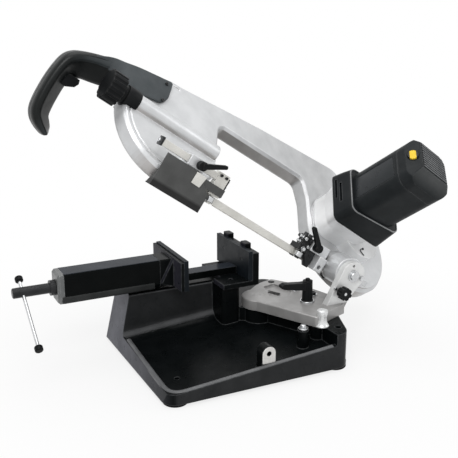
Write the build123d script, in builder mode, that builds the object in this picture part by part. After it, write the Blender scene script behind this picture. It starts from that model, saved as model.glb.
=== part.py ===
from build123d import *
import os
from math import atan2, ceil, cos, degrees, hypot, pi, radians, sin, sqrt

os.makedirs("parts", exist_ok=True)

# Driving dimensions, in millimetres and degrees

# Fits
slide_gap = 0.3
running_fit = 0.05

# Base casting: tray, vise pedestal and the deck that carries the swivel arm
base_left = -176.7
base_front = -153.5
base_back = 153.5
base_corner = 24.0
base_front_right = 160.0
base_right = 194.0
foot_height = 5.6
foot_radius = 21.0
foot_inset = 24.0
wall_lean = 0.219
rim_height = 45.0
rim_slope_x = 0.08
rim_slope_y = 0.05
rim_width = 10.0
tray_depth = 8.0
base_wall = 7.0
deck_height = 69.0
pedestal_height = 111.6
pedestal_front = 77.0
pedestal_right = 48.0
cove_radius = 24.0
bench_spacing_x = 270.0
bench_spacing_y = 188.0
bench_hole_radius = 4.5
bench_boss_radius = 13.0
bench_hole_depth = 24.0

# Work stop lug on the front of the tray
lug_x = 8.0
lug_front = -147.0
lug_length = 20.0
lug_height = 58.0
lug_radius = 13.0
lug_bore_radius = 4.0

# Vise
vise_y = 90.0
jaw_front = 25.0
jaw_length = 136.0
jaw_bottom = pedestal_height + 9.4
jaw_height = 56.0
jaw_plate = 8.0
jaw_casting = 6.5
fixed_jaw_x = 58.6
vise_opening = 119.1
bar_width = 28.0
bar_height = 13.5
bar_left = -149.0
tube_width = 44.0
tube_height = 55.0
tube_bottom = pedestal_height + 4.4
tube_wall = 4.0
tube_left = -272.0
tube_right = -98.0
tube_chamfer = 10.0
cap_length = 11.0
screw_height = pedestal_height + 31.9
screw_radius = 8.0
shaft_radius = 9.0
shaft_left = -356.0
collar_radius = 13.5
collar_length = 9.0
nut_left = -149.0
nut_length = 26.0
tommy_x = -338.5
tommy_radius = 3.0
tommy_length = 145.0
tommy_drop = 117.0
tommy_lean = 33.0
knob_radius = 7.0
knob_length = 10.0

# Swivel arm
swivel_x = 84.0
swivel_y = 30.0
hub_radius = 33.0
swivel_pin_radius = 11.0
arm_thickness = 19.0
mitre_x = 147.0
mitre_y = -37.0
mitre_bolt_radius = 5.0
mitre_swing = 45.0
ear_front = -74.0
ear_thickness = 14.0
ear_radius = 25.0
ear_foot_left = 160.0
ear_foot_right = 204.0

# Hinge of the bow, and the bow's own directions
hinge_x = 220.4
hinge_z = 137.6
hinge_pin_radius = 8.0
barrel_radius = 29.0
barrel_back = -12.0
raise_angle = 34.7
wheel_tilt = 45.0
blade_y = -6.5
blade_drop = 16.0

# Bow casting and wheels
wheel_radius = 90.0
wheel_width = 13.0
idler_u = -396.0
wheel_centres = 437.3
idler_case_radius = 106.0
drive_case_radius = 108.0
case_half = 14.0
drive_case_front = 18.0
case_wall = 5.8
case_bevel = 5.0
idler_case_right = -299.0
beam_low_left = 166.0
beam_low_right = 174.0
beam_top_mid = 232.0
beam_top_right = 260.0
cover_thickness = 4.0
band_width = 13.0
band_thickness = 0.65

# Motor and gears
motor_u = -7.4
motor_v = 100.4
motor_side = 96.0
motor_wall = 3.0
motor_corner = 24.0
motor_start = 100.0
motor_end = 256.0
end_cap_length = 40.0
cap_hollow = 12.0
end_bevel = 8.0
side_bevel = (17.4, 23.0)
low_bevel = (28.0, 22.0)
skirt_start = 76.0
skirt_width = 116.0
skirt_height = 102.0
slot_count = 12
slot_step = 5.6
gear_teeth = 50
pinion_teeth = 10
gear_width = 12.0
gear_start = 24.0
drive_shaft_radius = 10.0
motor_shaft_radius = 5.0

# Band guides
guide_bar_side = 12.0
guide_bar_y = -14.0
guide_bar_w = 38.5
guide_bar_left = -430.0
guide_left_u = -303.0
guide_right_u = -88.0
guide_block_width = 22.0
roller_radius = 8.0
roller_height = 10.0
guard_left = -418.0
guard_bottom = -31.0
guard_top = 28.0
guard_sheet = 2.0

# Handle
handle_y = 125.5
handle_thickness = 35.0
handle_wall = 3.5
handle_round = 6.0
cover_rise = 5.0

# Directions and planes of the bow: u along the band, v across the wheels, n along the axles, w up from the band
arm_bottom = deck_height + slide_gap
band_u = Vector(cos(radians(raise_angle)), 0, -sin(radians(raise_angle)))
band_w = Vector(sin(radians(raise_angle)), 0, cos(radians(raise_angle)))
axle_n = band_w * sin(radians(wheel_tilt)) - Vector(0, 1, 0) * cos(radians(wheel_tilt))
cross_v = band_w * cos(radians(wheel_tilt)) + Vector(0, 1, 0) * sin(radians(wheel_tilt))
bow_origin = Vector(hinge_x, blade_y, hinge_z) - band_w * blade_drop
wheel_plane = Plane(origin=bow_origin, x_dir=band_u, z_dir=axle_n)
side_plane = Plane(origin=bow_origin, x_dir=band_u, z_dir=(0, -1, 0))
drive_u = idler_u + wheel_centres
wheel_v = wheel_radius


def wheel_at(n):
    """Plane across the wheel axles at height n: x is u and y is v."""
    return wheel_plane.offset(n)


def side_at(y):
    """Upright plane of the bow at depth y, facing the front: x is u and y is w."""
    return side_plane.offset(blade_y - y)


def along_band(u, v=0.0, n=0.0):
    """Plane square to the band at u, facing along u: x is v and y is n."""
    origin = bow_origin + band_u * u + cross_v * v + axle_n * n
    return Plane(origin=origin, x_dir=cross_v, z_dir=band_u)


def disc(plane, radius, depth, at=(0, 0), mode=Mode.ADD):
    """Round boss, rod or hole on a plane."""
    with BuildSketch(plane) as outline:
        with Locations(at):
            Circle(radius)
    extrude(outline.sketch, amount=depth, mode=mode)


def block(plane, width, height, depth, at=(0, 0), corner=0.0, mode=Mode.ADD):
    """Rectangular block or pocket on a plane, with rounded corners where asked."""
    with BuildSketch(plane) as outline:
        with Locations(at):
            if corner > 0:
                RectangleRounded(width, height, corner)
            else:
                Rectangle(width, height)
    extrude(outline.sketch, amount=depth, mode=mode)


def span(plane, low, high, depth, corner=0.0, mode=Mode.ADD):
    """Block between two opposite corners on a plane."""
    centre = ((low[0] + high[0]) / 2, (low[1] + high[1]) / 2)
    block(plane, high[0] - low[0], high[1] - low[1], depth, centre, corner, mode)


def shape(plane, points, depth, corner=0.0, mode=Mode.ADD):
    """Prism of a straight-sided outline, its corners rounded where asked."""
    with BuildSketch(plane) as outline:
        with BuildLine():
            Polyline(*points, close=True)
        make_face()
        if corner > 0:
            fillet(outline.vertices(), corner)
    extrude(outline.sketch, amount=depth, mode=mode)


def round_corner(outline, spot, radius):
    """Round the corner of a sketch that lies nearest to a spot."""
    fillet(min(outline.vertices(), key=lambda corner: hypot(corner.X - spot[0], corner.Y - spot[1])), radius)


def write(piece, label):
    """Name a finished piece and store it."""
    piece.part.label = label
    export_step(piece.part, f"parts/{label}.step")


def coil_path(base, axis, side, radius, pitch, turns, stub):
    """Helix as quarter-turn biarcs, with a straight stub along the axis at each end."""
    axis = axis.normalized()
    side = side.normalized()
    turned = axis.cross(side)
    bend = radius * 0.4
    rise = pitch / (2 * pi)

    def spot(angle):
        return base + side * (radius * cos(angle)) + turned * (radius * sin(angle)) + axis * (rise * angle)

    def heading(angle):
        return (turned * (radius * cos(angle)) - side * (radius * sin(angle)) + axis * rise).normalized()

    quarters = turns * 4
    first = spot(0) - heading(0) * bend - axis * bend
    last = spot(quarters * pi / 2) + heading(quarters * pi / 2) * bend + axis * bend
    with BuildLine() as path:
        Line(first - axis * stub, first)
        TangentArc(first, spot(0), tangent=axis)
        for quarter in range(quarters):
            low = quarter * pi / 2
            high = low + pi / 2
            chord = spot(high) - spot(low)
            together = heading(low) + heading(high)
            bow = 2 * (1 - heading(low).dot(heading(high)))
            lean = chord.dot(together)
            reach = (-lean + sqrt(lean * lean + bow * chord.dot(chord))) / bow
            joint = (spot(low) + heading(low) * reach + spot(high) - heading(high) * reach) * 0.5
            TangentArc(spot(low), joint, tangent=heading(low))
            TangentArc(joint, spot(high), tangent=spot(high) - heading(high) * reach - joint)
        TangentArc(spot(quarters * pi / 2), last, tangent=heading(quarters * pi / 2))
        Line(last, last + axis * stub)
    return path.wires()[0]


def coil_gap(path, wire, steps=400):
    """Least clear distance between stretches of wire that aren't neighbours along it."""
    spots = [path @ (step / steps) for step in range(steps + 1)]
    skip = ceil(steps * 4 * wire / path.length) + 1
    least = min(
        (spots[one] - spots[two]).length
        for one in range(len(spots))
        for two in range(one + skip, len(spots))
    )
    return least - 2 * wire


# Base casting
rim_plane = Plane(origin=(0, 0, rim_height), z_dir=(-rim_slope_x, -rim_slope_y, 1))
floor_plane = Plane(origin=(0, 0, rim_height - tray_depth), z_dir=(-rim_slope_x, -rim_slope_y, 1))
under_plane = Plane(origin=(0, 0, rim_height - tray_depth - base_wall), z_dir=(-rim_slope_x, -rim_slope_y, 1))
lean_plane = Plane(origin=(base_left, 0, foot_height), x_dir=(0, 1, 0), z_dir=(-1, 0, wall_lean))
base_corners = [
    (base_left, base_front),
    (base_front_right, base_front),
    (base_right, -62),
    (base_right, 92),
    (base_front_right, base_back),
    (base_left, base_back),
]


def base_prism(inset, low, high):
    """Upright prism of the base outline, drawn in by an inset."""
    with BuildPart() as prism:
        with BuildSketch(Plane.XY.offset(low)) as outline:
            with BuildLine():
                Polyline(*base_corners, close=True)
            make_face()
            fillet(outline.vertices(), base_corner)
            if inset > 0:
                offset(amount=-inset)
        extrude(amount=high - low)
    return prism.part


def below(solid, plane):
    with BuildPart() as kept:
        add(solid)
        split(bisect_by=plane, keep=Keep.BOTTOM)
    return kept.part


def above(solid, plane):
    with BuildPart() as kept:
        add(solid)
        split(bisect_by=plane, keep=Keep.TOP)
    return kept.part


tray_outer = below(base_prism(0, foot_height, deck_height), rim_plane)
tray_hollow = above(base_prism(rim_width, foot_height, 2 * deck_height), floor_plane)
tray_under = below(base_prism(base_wall, 0, deck_height), under_plane)
deck_edge = [
    (138, base_front - 10),
    (136, -98),
    (82, 8),
    (pedestal_right - 4, 36),
    (pedestal_right - 4, base_back + 10),
    (base_right + 10, base_back + 10),
    (base_right + 10, base_front - 10),
]
with BuildPart() as deck_block:
    add(base_prism(0, foot_height, deck_height))
    shape(Plane.XY, deck_edge, deck_height, mode=Mode.INTERSECT)
with BuildPart() as deck_hollow:
    add(base_prism(base_wall, 0, deck_height - base_wall))
    shape(Plane.XY, [(x + base_wall, y) for x, y in deck_edge], deck_height, mode=Mode.INTERSECT)

mitre_reach = hypot(mitre_x - swivel_x, mitre_y - swivel_y)
mitre_angle = degrees(atan2(mitre_y - swivel_y, mitre_x - swivel_x))
cove_y = pedestal_front - cove_radius
cove_z = rim_height - tray_depth + rim_slope_x * base_left + rim_slope_y * cove_y
bench_spots = [
    (x * bench_spacing_x / 2, y * bench_spacing_y / 2) for x in (-1, 1) for y in (-1, 1)
]
foot_spots = [
    (base_left + foot_inset, base_front + foot_inset),
    (base_left + foot_inset, base_back - foot_inset),
    (base_front_right - foot_inset / 2, base_front + foot_inset),
    (base_front_right - foot_inset / 2, base_back - foot_inset),
]
stop_spot = (95, -110)
stop_boss_top = 70.0

with BuildPart() as base_casting:
    add(tray_outer)
    add(tray_hollow, mode=Mode.SUBTRACT)
    # Vise pedestal with its rounded top edges, and the nose under the fixed jaw
    with BuildSketch(Plane.YZ.offset(base_left)) as pedestal_side:
        with BuildLine():
            Polyline(
                (pedestal_front, foot_height),
                (pedestal_front + 2.5, pedestal_height),
                (base_back - 4, pedestal_height),
                (base_back, foot_height),
                close=True,
            )
        make_face()
        fillet(pedestal_side.vertices().group_by(Axis.Y)[-1], 6)
    extrude(amount=pedestal_right - base_left)
    span(Plane.XY.offset(foot_height + 12), (10, 32), (pedestal_right - 2, pedestal_front + 10),
         pedestal_height - foot_height - 12, corner=9)
    # Cove between the tray floor and the pedestal
    with BuildSketch(Plane.YZ.offset(base_left)):
        with BuildLine():
            RadiusArc((cove_y, cove_z), (pedestal_front + 1, cove_z + cove_radius + 1), -cove_radius)
            Line((pedestal_front + 1, cove_z + cove_radius + 1), (pedestal_front + 1, cove_z - 6))
            Line((pedestal_front + 1, cove_z - 6), (cove_y, cove_z - 6))
            Line((cove_y, cove_z - 6), (cove_y, cove_z))
        make_face()
    extrude(amount=pedestal_right - base_left, dir=(1, 0, rim_slope_x))
    add(deck_block.part)
    disc(Plane.XY.offset(foot_height + 12), hub_radius - 3, deck_height - foot_height - 12, (swivel_x, swivel_y))
    # Hollow underside
    add(tray_under, mode=Mode.SUBTRACT)
    add(deck_hollow.part, mode=Mode.SUBTRACT)
    span(Plane.XY, (base_left + 34, pedestal_front + base_wall + 3),
         (pedestal_right - base_wall, base_back - base_wall - 4), pedestal_height - base_wall, 6, Mode.SUBTRACT)
    disc(Plane.XY.offset(foot_height), hub_radius - 8, deck_height - foot_height, (swivel_x, swivel_y))
    # Mitre stop boss
    disc(Plane.XY.offset(foot_height + 14), 10, stop_boss_top - foot_height - 14, stop_spot)
    # Work stop lug
    lug_plane = Plane(origin=(lug_x, lug_front, 0), x_dir=(1, 0, 0), z_dir=(0, -1, 0))
    with BuildSketch(lug_plane) as lug_face:
        with Locations((0, lug_height)):
            Circle(lug_radius)
        with Locations((0, lug_height / 2 + 14)):
            Rectangle(2 * lug_radius, lug_height - 28)
    extrude(lug_face.sketch, amount=-lug_length)
    split(bisect_by=lean_plane, keep=Keep.BOTTOM)
    disc(lug_plane.offset(1), lug_bore_radius, -lug_length - 2, (0, lug_height), Mode.SUBTRACT)
    # Foot pads, bench bosses and their holes
    for spot in foot_spots:
        disc(Plane.XY.offset(foot_height), foot_radius, 6, spot)
    for spot in bench_spots:
        in_tray = spot[0] < 0 and spot[1] < 0
        boss_top = foot_height + bench_boss_radius if in_tray else deck_height - base_wall / 2
        disc(Plane.XY, bench_boss_radius, boss_top, spot)
        disc(Plane.XY, bench_hole_radius, bench_hole_depth + foot_height, spot, Mode.SUBTRACT)
    # Swivel pin bore, curved slot of the mitre clamp, deck hole and stop screw holes
    disc(Plane.XY.offset(foot_height), swivel_pin_radius, deck_height, (swivel_x, swivel_y), Mode.SUBTRACT)
    with BuildSketch(Plane.XY.offset(deck_height - 2 * base_wall)) as mitre_slot:
        with Locations((swivel_x, swivel_y)):
            SlotArc(
                CenterArc((0, 0), mitre_reach, mitre_angle - 2, mitre_swing + 4).edge(),
                2 * mitre_bolt_radius + 2,
                mode=Mode.ADD,
            )
    extrude(mitre_slot.sketch, amount=3 * base_wall, mode=Mode.SUBTRACT)
    disc(Plane.XY.offset(deck_height - 2 * base_wall), 5.8, 3 * base_wall, (158, -124), Mode.SUBTRACT)
    disc(Plane.XY.offset(stop_boss_top - 18), 3, 20, stop_spot, Mode.SUBTRACT)
write(base_casting, "base_casting")

with BuildPart() as rubber_feet:
    for spot in foot_spots:
        disc(Plane.XY, foot_radius, foot_height, spot)
    chamfer(rubber_feet.edges().group_by(Axis.Z)[0], 1.2)
    for spot in bench_spots:
        disc(Plane.XY, bench_boss_radius + slide_gap, foot_height, spot, Mode.SUBTRACT)
write(rubber_feet, "rubber_feet")

# Stop screws: a collar screw on the boss and its round head against the arm
with BuildPart() as stop_screws:
    disc(Plane.XY.offset(stop_boss_top - 17), 3, 20, stop_spot)
    disc(Plane.XY.offset(stop_boss_top), 7, 3, stop_spot)
    disc(Plane.XY.offset(stop_boss_top + 3), 5, 4, stop_spot)
write(stop_screws, "stop_screws")

# Fixed jaw
jaw_back = jaw_front + jaw_length
jaw_mid = jaw_front + jaw_length / 2
fixed_back = fixed_jaw_x + jaw_plate
jaw_screw_spots = [(jaw_mid - 38, jaw_bottom + 34), (jaw_mid + 38, jaw_bottom + 34)]
with BuildPart() as fixed_jaw:
    span(Plane.XY.offset(pedestal_height), (8, jaw_front), (fixed_back + 13, 68), jaw_bottom - pedestal_height)
    span(Plane.XY.offset(pedestal_height), (22, 60), (fixed_back + 13, jaw_back - 8), jaw_bottom - pedestal_height)
    span(Plane.XY.offset(jaw_bottom), (fixed_back, jaw_front), (fixed_back + 13, jaw_back), jaw_height - 4)
    for rib_y in (jaw_front + 30, jaw_back - 34):
        span(Plane.XY.offset(jaw_bottom), (fixed_back, rib_y), (fixed_back + 13, rib_y + 22), jaw_height + 6, 3)
    for spot in jaw_screw_spots:
        disc(Plane.YZ.offset(fixed_back), 3, 13, spot, Mode.SUBTRACT)
    for bolt_y in (vise_y - 40, vise_y + 40):
        disc(Plane.XY.offset(jaw_bottom), 4, -20, (34, bolt_y), Mode.SUBTRACT)
write(fixed_jaw, "fixed_jaw")


def jaw_face(low_x, notch):
    """Jaw plate with two countersunk screw holes, notched over the guide bar where asked."""
    with BuildPart() as plate:
        span(Plane.YZ.offset(low_x), (jaw_front, jaw_bottom + slide_gap), (jaw_back, jaw_bottom + jaw_height),
             jaw_plate)
        for spot in jaw_screw_spots:
            disc(Plane.YZ.offset(low_x), 3, jaw_plate, spot, Mode.SUBTRACT)
        if notch:
            block(Plane.YZ.offset(low_x), bar_width + 2 * slide_gap, 2 * (bar_height + slide_gap), jaw_plate,
                  (vise_y, jaw_bottom), mode=Mode.SUBTRACT)
    return plate


def jaw_screws(face_x, heading):
    """Pair of screws whose heads lie just under the jaw face."""
    with BuildPart() as pair:
        for spot in jaw_screw_spots:
            disc(Plane.YZ.offset(face_x + heading * 0.6), 2.8, heading * (jaw_plate + 5), spot)
    return pair


fixed_jaw_plate = jaw_face(fixed_jaw_x, False)
write(fixed_jaw_plate, "fixed_jaw_plate")
fixed_jaw_screws = jaw_screws(fixed_jaw_x, 1)
write(fixed_jaw_screws, "fixed_jaw_screws")

with BuildPart() as vise_guide_bar:
    span(Plane.YZ.offset(bar_left), (vise_y - bar_width / 2, jaw_bottom),
         (vise_y + bar_width / 2, jaw_bottom + bar_height), fixed_jaw_x - bar_left)
write(vise_guide_bar, "vise_guide_bar")

with BuildPart() as vise_nut:
    span(Plane.YZ.offset(nut_left), (vise_y - bar_width / 2, jaw_bottom + bar_height),
         (vise_y + bar_width / 2, screw_height + 13), nut_length, 2)
    disc(Plane.YZ.offset(nut_left), screw_radius + running_fit, nut_length, (vise_y, screw_height), Mode.SUBTRACT)
write(vise_nut, "vise_nut")

# Moving jaw, tube and screw
moving_jaw_x = fixed_jaw_x - vise_opening
moving_back = moving_jaw_x - jaw_plate
tube_top = tube_bottom + tube_height
tube_points = [
    (vise_y - tube_width / 2, tube_bottom + tube_chamfer),
    (vise_y - tube_width / 2 + tube_chamfer / 2, tube_bottom),
    (vise_y + tube_width / 2 - tube_chamfer / 2, tube_bottom),
    (vise_y + tube_width / 2, tube_bottom + tube_chamfer),
    (vise_y + tube_width / 2, tube_top),
    (vise_y - tube_width / 2, tube_top),
]


def tube_section(x, length, inset, mode=Mode.ADD, corner=3.0):
    """Stretch of the vise tube's section, drawn in by an inset."""
    with BuildSketch(Plane.YZ.offset(x)) as section:
        with BuildLine():
            Polyline(*tube_points, close=True)
        make_face()
        fillet(section.vertices(), corner)
        if inset > 0:
            offset(amount=-inset)
    extrude(section.sketch, amount=length, mode=mode)


with BuildPart() as vise_tube:
    tube_section(tube_left, tube_right - tube_left, 0)
    tube_section(tube_left, tube_right - tube_left, tube_wall, Mode.SUBTRACT)
write(vise_tube, "vise_tube")

with BuildPart() as tube_end_cap:
    tube_section(tube_left, -cap_length, 0, corner=4.5)
    chamfer(tube_end_cap.faces().sort_by(Axis.X)[0].edges(), 4)
    disc(Plane.YZ.offset(tube_left), shaft_radius + running_fit, -cap_length, (vise_y, screw_height), Mode.SUBTRACT)
write(tube_end_cap, "tube_end_cap")

with BuildPart() as moving_jaw:
    span(Plane.YZ.offset(moving_back - jaw_casting), (jaw_front, jaw_bottom + slide_gap),
         (jaw_back, jaw_bottom + jaw_height - 2), jaw_casting)
    tube_section(tube_right, moving_back - jaw_casting - tube_right, 0)
    for rib_y in (vise_y - 8 - tube_width / 2, vise_y + tube_width / 2):
        shape(Plane.XZ.offset(-rib_y - 8),
              [(tube_right, jaw_bottom + 8), (moving_back - jaw_casting, jaw_bottom + slide_gap),
               (moving_back - jaw_casting, jaw_bottom + jaw_height - 6)], 8)
    block(Plane.YZ.offset(tube_right), bar_width + 2 * slide_gap, 2 * (bar_height + slide_gap),
          moving_back - tube_right, (vise_y, jaw_bottom), mode=Mode.SUBTRACT)
    span(Plane.YZ.offset(tube_right), (jaw_front, tube_bottom), (jaw_back, jaw_bottom + slide_gap),
         moving_back - tube_right, 0, Mode.SUBTRACT)
    for spot in jaw_screw_spots:
        disc(Plane.YZ.offset(moving_back), 3, -jaw_casting, spot, Mode.SUBTRACT)
write(moving_jaw, "moving_jaw")

moving_jaw_plate = jaw_face(moving_back, True)
write(moving_jaw_plate, "moving_jaw_plate")
moving_jaw_screws = jaw_screws(moving_jaw_x, -1)
write(moving_jaw_screws, "moving_jaw_screws")

collar_x = tube_left - cap_length - slide_gap
screw_axis = Plane.YZ.offset(shaft_left)
tommy_down = Vector(0, -cos(radians(tommy_lean)), -sin(radians(tommy_lean)))
tommy_centre = Vector(tommy_x, vise_y, screw_height)
tommy_plane = Plane(origin=tommy_centre + tommy_down * tommy_drop, x_dir=(1, 0, 0), z_dir=tommy_down * -1)
with BuildPart() as vise_screw:
    disc(screw_axis, shaft_radius, tube_left + slide_gap - shaft_left, (vise_y, screw_height))
    disc(Plane.YZ.offset(collar_x), collar_radius, -collar_length, (vise_y, screw_height))
    disc(Plane.YZ.offset(tube_left + slide_gap), collar_radius - 1.5, 5, (vise_y, screw_height))
    disc(screw_axis, screw_radius, tube_right - 8 - shaft_left, (vise_y, screw_height))
    chamfer(vise_screw.faces().sort_by(Axis.X)[0].edges(), 1.5)
    disc(tommy_plane, tommy_radius + running_fit, tommy_length, mode=Mode.SUBTRACT)
write(vise_screw, "vise_screw")

with BuildPart() as tommy_bar:
    disc(tommy_plane, tommy_radius, tommy_length)
write(tommy_bar, "tommy_bar")


def end_knob(plane):
    """Rounded knob on the end of the bar."""
    with BuildPart() as knob:
        disc(plane.offset(-knob_length / 2), knob_radius, knob_length)
        fillet(knob.edges().filter_by(GeomType.CIRCLE), 2.5)
        disc(plane.offset(-knob_length / 2), tommy_radius, knob_length / 2, mode=Mode.SUBTRACT)
    return knob.part


tommy_top = Plane(origin=tommy_plane.origin + tommy_plane.z_dir * tommy_length, x_dir=(1, 0, 0),
                  z_dir=tommy_plane.z_dir)
tommy_low = Plane(origin=tommy_plane.origin, x_dir=(1, 0, 0), z_dir=tommy_plane.z_dir * -1)
with BuildPart() as tommy_knobs:
    add(end_knob(tommy_top))
    add(end_knob(tommy_low))
write(tommy_knobs, "tommy_knobs")

# Swivel arm with the hinge ear
arm_top = arm_bottom + arm_thickness
arm_points = [
    (123, -113),
    (152, -96),
    (ear_foot_right, ear_front - 2),
    (ear_foot_right, -28),
    (184, 40),
    (146, 98),
    (110, 86),
    (swivel_x - 14, swivel_y + 24),
    (swivel_x - 26, swivel_y - 14),
]
ear_plane = Plane(origin=(0, ear_front + ear_thickness, 0), x_dir=(1, 0, 0), z_dir=(0, -1, 0))
spring_y = -46.0
spring_low = Vector(203, spring_y, 94)
spring_lug_u = 48.0
spring_high = Vector(hinge_x, spring_y, hinge_z) + band_u * spring_lug_u
spring_pin_radius = 2.5
ear_knob_spot = (194, 112)
hex_bolt_spot = (hinge_x + 17.5, hinge_z - 7)
with BuildPart() as swivel_arm:
    with BuildSketch(Plane.XY.offset(arm_bottom)) as arm_plan:
        with BuildLine():
            Polyline(*arm_points, close=True)
        make_face()
        fillet(arm_plan.vertices(), 7)
        with Locations((swivel_x, swivel_y)):
            Circle(hub_radius)
    extrude(amount=arm_thickness)
    chamfer(swivel_arm.faces().sort_by(Axis.Z)[-1].edges(), 1.2)
    # Leaning ear: tangent sides from the foot to the round top
    with BuildSketch(ear_plane) as ear_side:
        with BuildLine():
            Polyline(
                (ear_foot_left, arm_top - 8),
                (ear_foot_right, arm_top - 8),
                (ear_foot_right + 8, arm_top + 6),
                (hinge_x + ear_radius * cos(radians(raise_angle)), hinge_z - ear_radius * sin(radians(raise_angle))),
                (hinge_x - ear_radius * cos(radians(raise_angle)), hinge_z + ear_radius * sin(radians(raise_angle))),
                (ear_foot_left + 12, arm_top + 12),
                close=True,
            )
        make_face()
        fillet(ear_side.vertices().sort_by(Axis.Y)[2:4], 6)
        with Locations((hinge_x, hinge_z)):
            Circle(ear_radius)
    extrude(amount=ear_thickness)
    # Post that holds the lower end of the return spring
    span(Plane.XY.offset(arm_top - 6), (190, spring_y - 9), (207, spring_y - 5), 17, 1.5)
    disc(Plane.XZ.offset(-spring_y + 6), spring_pin_radius, -10, (spring_low.X, spring_low.Z))
    # Recess on top, pin bore, clamp hole and the holes of the ear
    shape(Plane.XY.offset(arm_top), [(96, 12), (132, 2), (150, 22), (138, 72), (112, 66)], -4, 5, Mode.SUBTRACT)
    with BuildSketch(Plane.XY.offset(arm_top)) as arm_slot:
        SlotCenterToCenter(20, 8, rotation=116)
    extrude(arm_slot.sketch.moved(Location((117, 33, 0))), amount=-12, mode=Mode.SUBTRACT)
    disc(Plane.XY.offset(arm_top), 5, -arm_thickness, (138, 82), Mode.SUBTRACT)
    disc(Plane.XY, swivel_pin_radius + running_fit, 2 * arm_top, (swivel_x, swivel_y), Mode.SUBTRACT)
    disc(Plane.XY, mitre_bolt_radius + running_fit, 2 * arm_top, (mitre_x, mitre_y), Mode.SUBTRACT)
    disc(ear_plane, hinge_pin_radius, ear_thickness, (hinge_x, hinge_z), Mode.SUBTRACT)
    disc(ear_plane, 4 + running_fit, ear_thickness, ear_knob_spot, Mode.SUBTRACT)
    disc(ear_plane, 3, ear_thickness, hex_bolt_spot, Mode.SUBTRACT)
    disc(ear_plane, 2.6, ear_thickness, (hinge_x + 1, hinge_z + 18), Mode.SUBTRACT)
write(swivel_arm, "swivel_arm")

with BuildPart() as swivel_pin:
    disc(Plane.XY.offset(deck_height - 42), swivel_pin_radius, arm_top + 42 - deck_height + slide_gap,
         (swivel_x, swivel_y))
    disc(Plane.XY.offset(arm_top + slide_gap), swivel_pin_radius + 6, 5, (swivel_x, swivel_y))
    with BuildSketch(Plane.XY.offset(arm_top + slide_gap + 5)):
        with Locations((swivel_x, swivel_y)):
            RegularPolygon(swivel_pin_radius, 6)
    extrude(amount=7)
write(swivel_pin, "swivel_pin")

pin_back = barrel_back - 5
with BuildPart() as hinge_pin:
    disc(Plane.XZ.offset(-pin_back), hinge_pin_radius, pin_back - ear_front + 1, (hinge_x, hinge_z))
    disc(Plane.XZ.offset(-ear_front), 11, 3, (hinge_x, hinge_z))
    disc(Plane.XZ.offset(-ear_front + 3), 8.5, 4, (hinge_x, hinge_z))
    chamfer(hinge_pin.faces().sort_by(Axis.Y)[0].edges(), 1)
write(hinge_pin, "hinge_pin")

with BuildPart() as hinge_bolt:
    disc(ear_plane, 3, ear_thickness, hex_bolt_spot)
    with BuildSketch(Plane.XZ.offset(-ear_front)) as bolt_head:
        with Locations(hex_bolt_spot):
            RegularPolygon(5, 6)
    extrude(bolt_head.sketch, amount=5)
write(hinge_bolt, "hinge_bolt")

# Lobed knob on the ear, turning on its stud
with BuildPart() as ear_knob:
    disc(ear_plane, 4, ear_thickness + 6, ear_knob_spot)
    disc(Plane.XZ.offset(-ear_front + slide_gap), 8, 6, ear_knob_spot)
    with BuildSketch(Plane.XZ.offset(-ear_front + 6)) as lobes:
        with Locations(ear_knob_spot):
            Circle(12)
            with PolarLocations(12.5, 7):
                Circle(2.6, mode=Mode.SUBTRACT)
    extrude(lobes.sketch, amount=13)
    disc(Plane.XZ.offset(-ear_front + 19), 4, -3, ear_knob_spot, Mode.SUBTRACT)
write(ear_knob, "ear_knob")

# Mitre clamp lever: bolt through the arm, post and lever
lever_plane = Plane(origin=(mitre_x, mitre_y, arm_top + slide_gap), x_dir=(-1, 0, 0), z_dir=(0, 0, 1))
with BuildPart() as mitre_lever:
    disc(lever_plane, mitre_bolt_radius, -(arm_thickness + base_wall + 8))
    disc(lever_plane.offset(-(arm_thickness + 2 * slide_gap + base_wall + slide_gap)), 9, -5)
    disc(lever_plane, 11, 3)
    with BuildSketch(lever_plane.offset(3)):
        Circle(9.8)
    with BuildSketch(lever_plane.offset(40)):
        Circle(9)
    loft()
    disc(lever_plane.offset(40), 4, 4)
    lever_side = Plane(origin=lever_plane.origin, x_dir=lever_plane.x_dir, z_dir=lever_plane.y_dir * -1)
    with BuildSketch(lever_side.offset(-6)) as lever_shape:
        with BuildLine():
            Polyline((0, 22), (0, 38), (14, 38), (50, 42), (57, 39), (56, 34), (50, 31.5), (16, 25), close=True)
        make_face()
        fillet(lever_shape.vertices().sort_by(Axis.X)[4:8], 2)
    extrude(lever_shape.sketch, amount=12)
write(mitre_lever, "mitre_lever")

# Return spring between the arm's post and the bow's lug
spring_axis = (spring_high - spring_low).normalized()
spring_wire = 1.0
spring_coil_radius = 6.0
spring_pitch = 3.2
spring_turns = 8
spring_bend = spring_coil_radius * 0.4
spring_body = spring_pitch * spring_turns
spring_span = (spring_high - spring_low).length
spring_slope = spring_pitch / (2 * pi * spring_coil_radius)
spring_lead = (spring_span - spring_body) / 2
spring_stub = spring_lead - spring_bend * (1 + spring_slope) - spring_pin_radius - slide_gap
spring_side = spring_axis.cross(Vector(0, 1, 0))
spring_base = spring_low + spring_axis * spring_lead - spring_side * spring_coil_radius
spring_path = coil_path(spring_base, spring_axis, spring_side, spring_coil_radius, spring_pitch, spring_turns,
                        spring_stub)
print("return spring least gap", round(coil_gap(spring_path, spring_wire), 2))
with BuildPart() as return_spring:
    with BuildSketch(Plane(origin=spring_path @ 0, z_dir=spring_path % 0)):
        Circle(spring_wire)
    sweep(path=spring_path)
write(return_spring, "return_spring")

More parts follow.
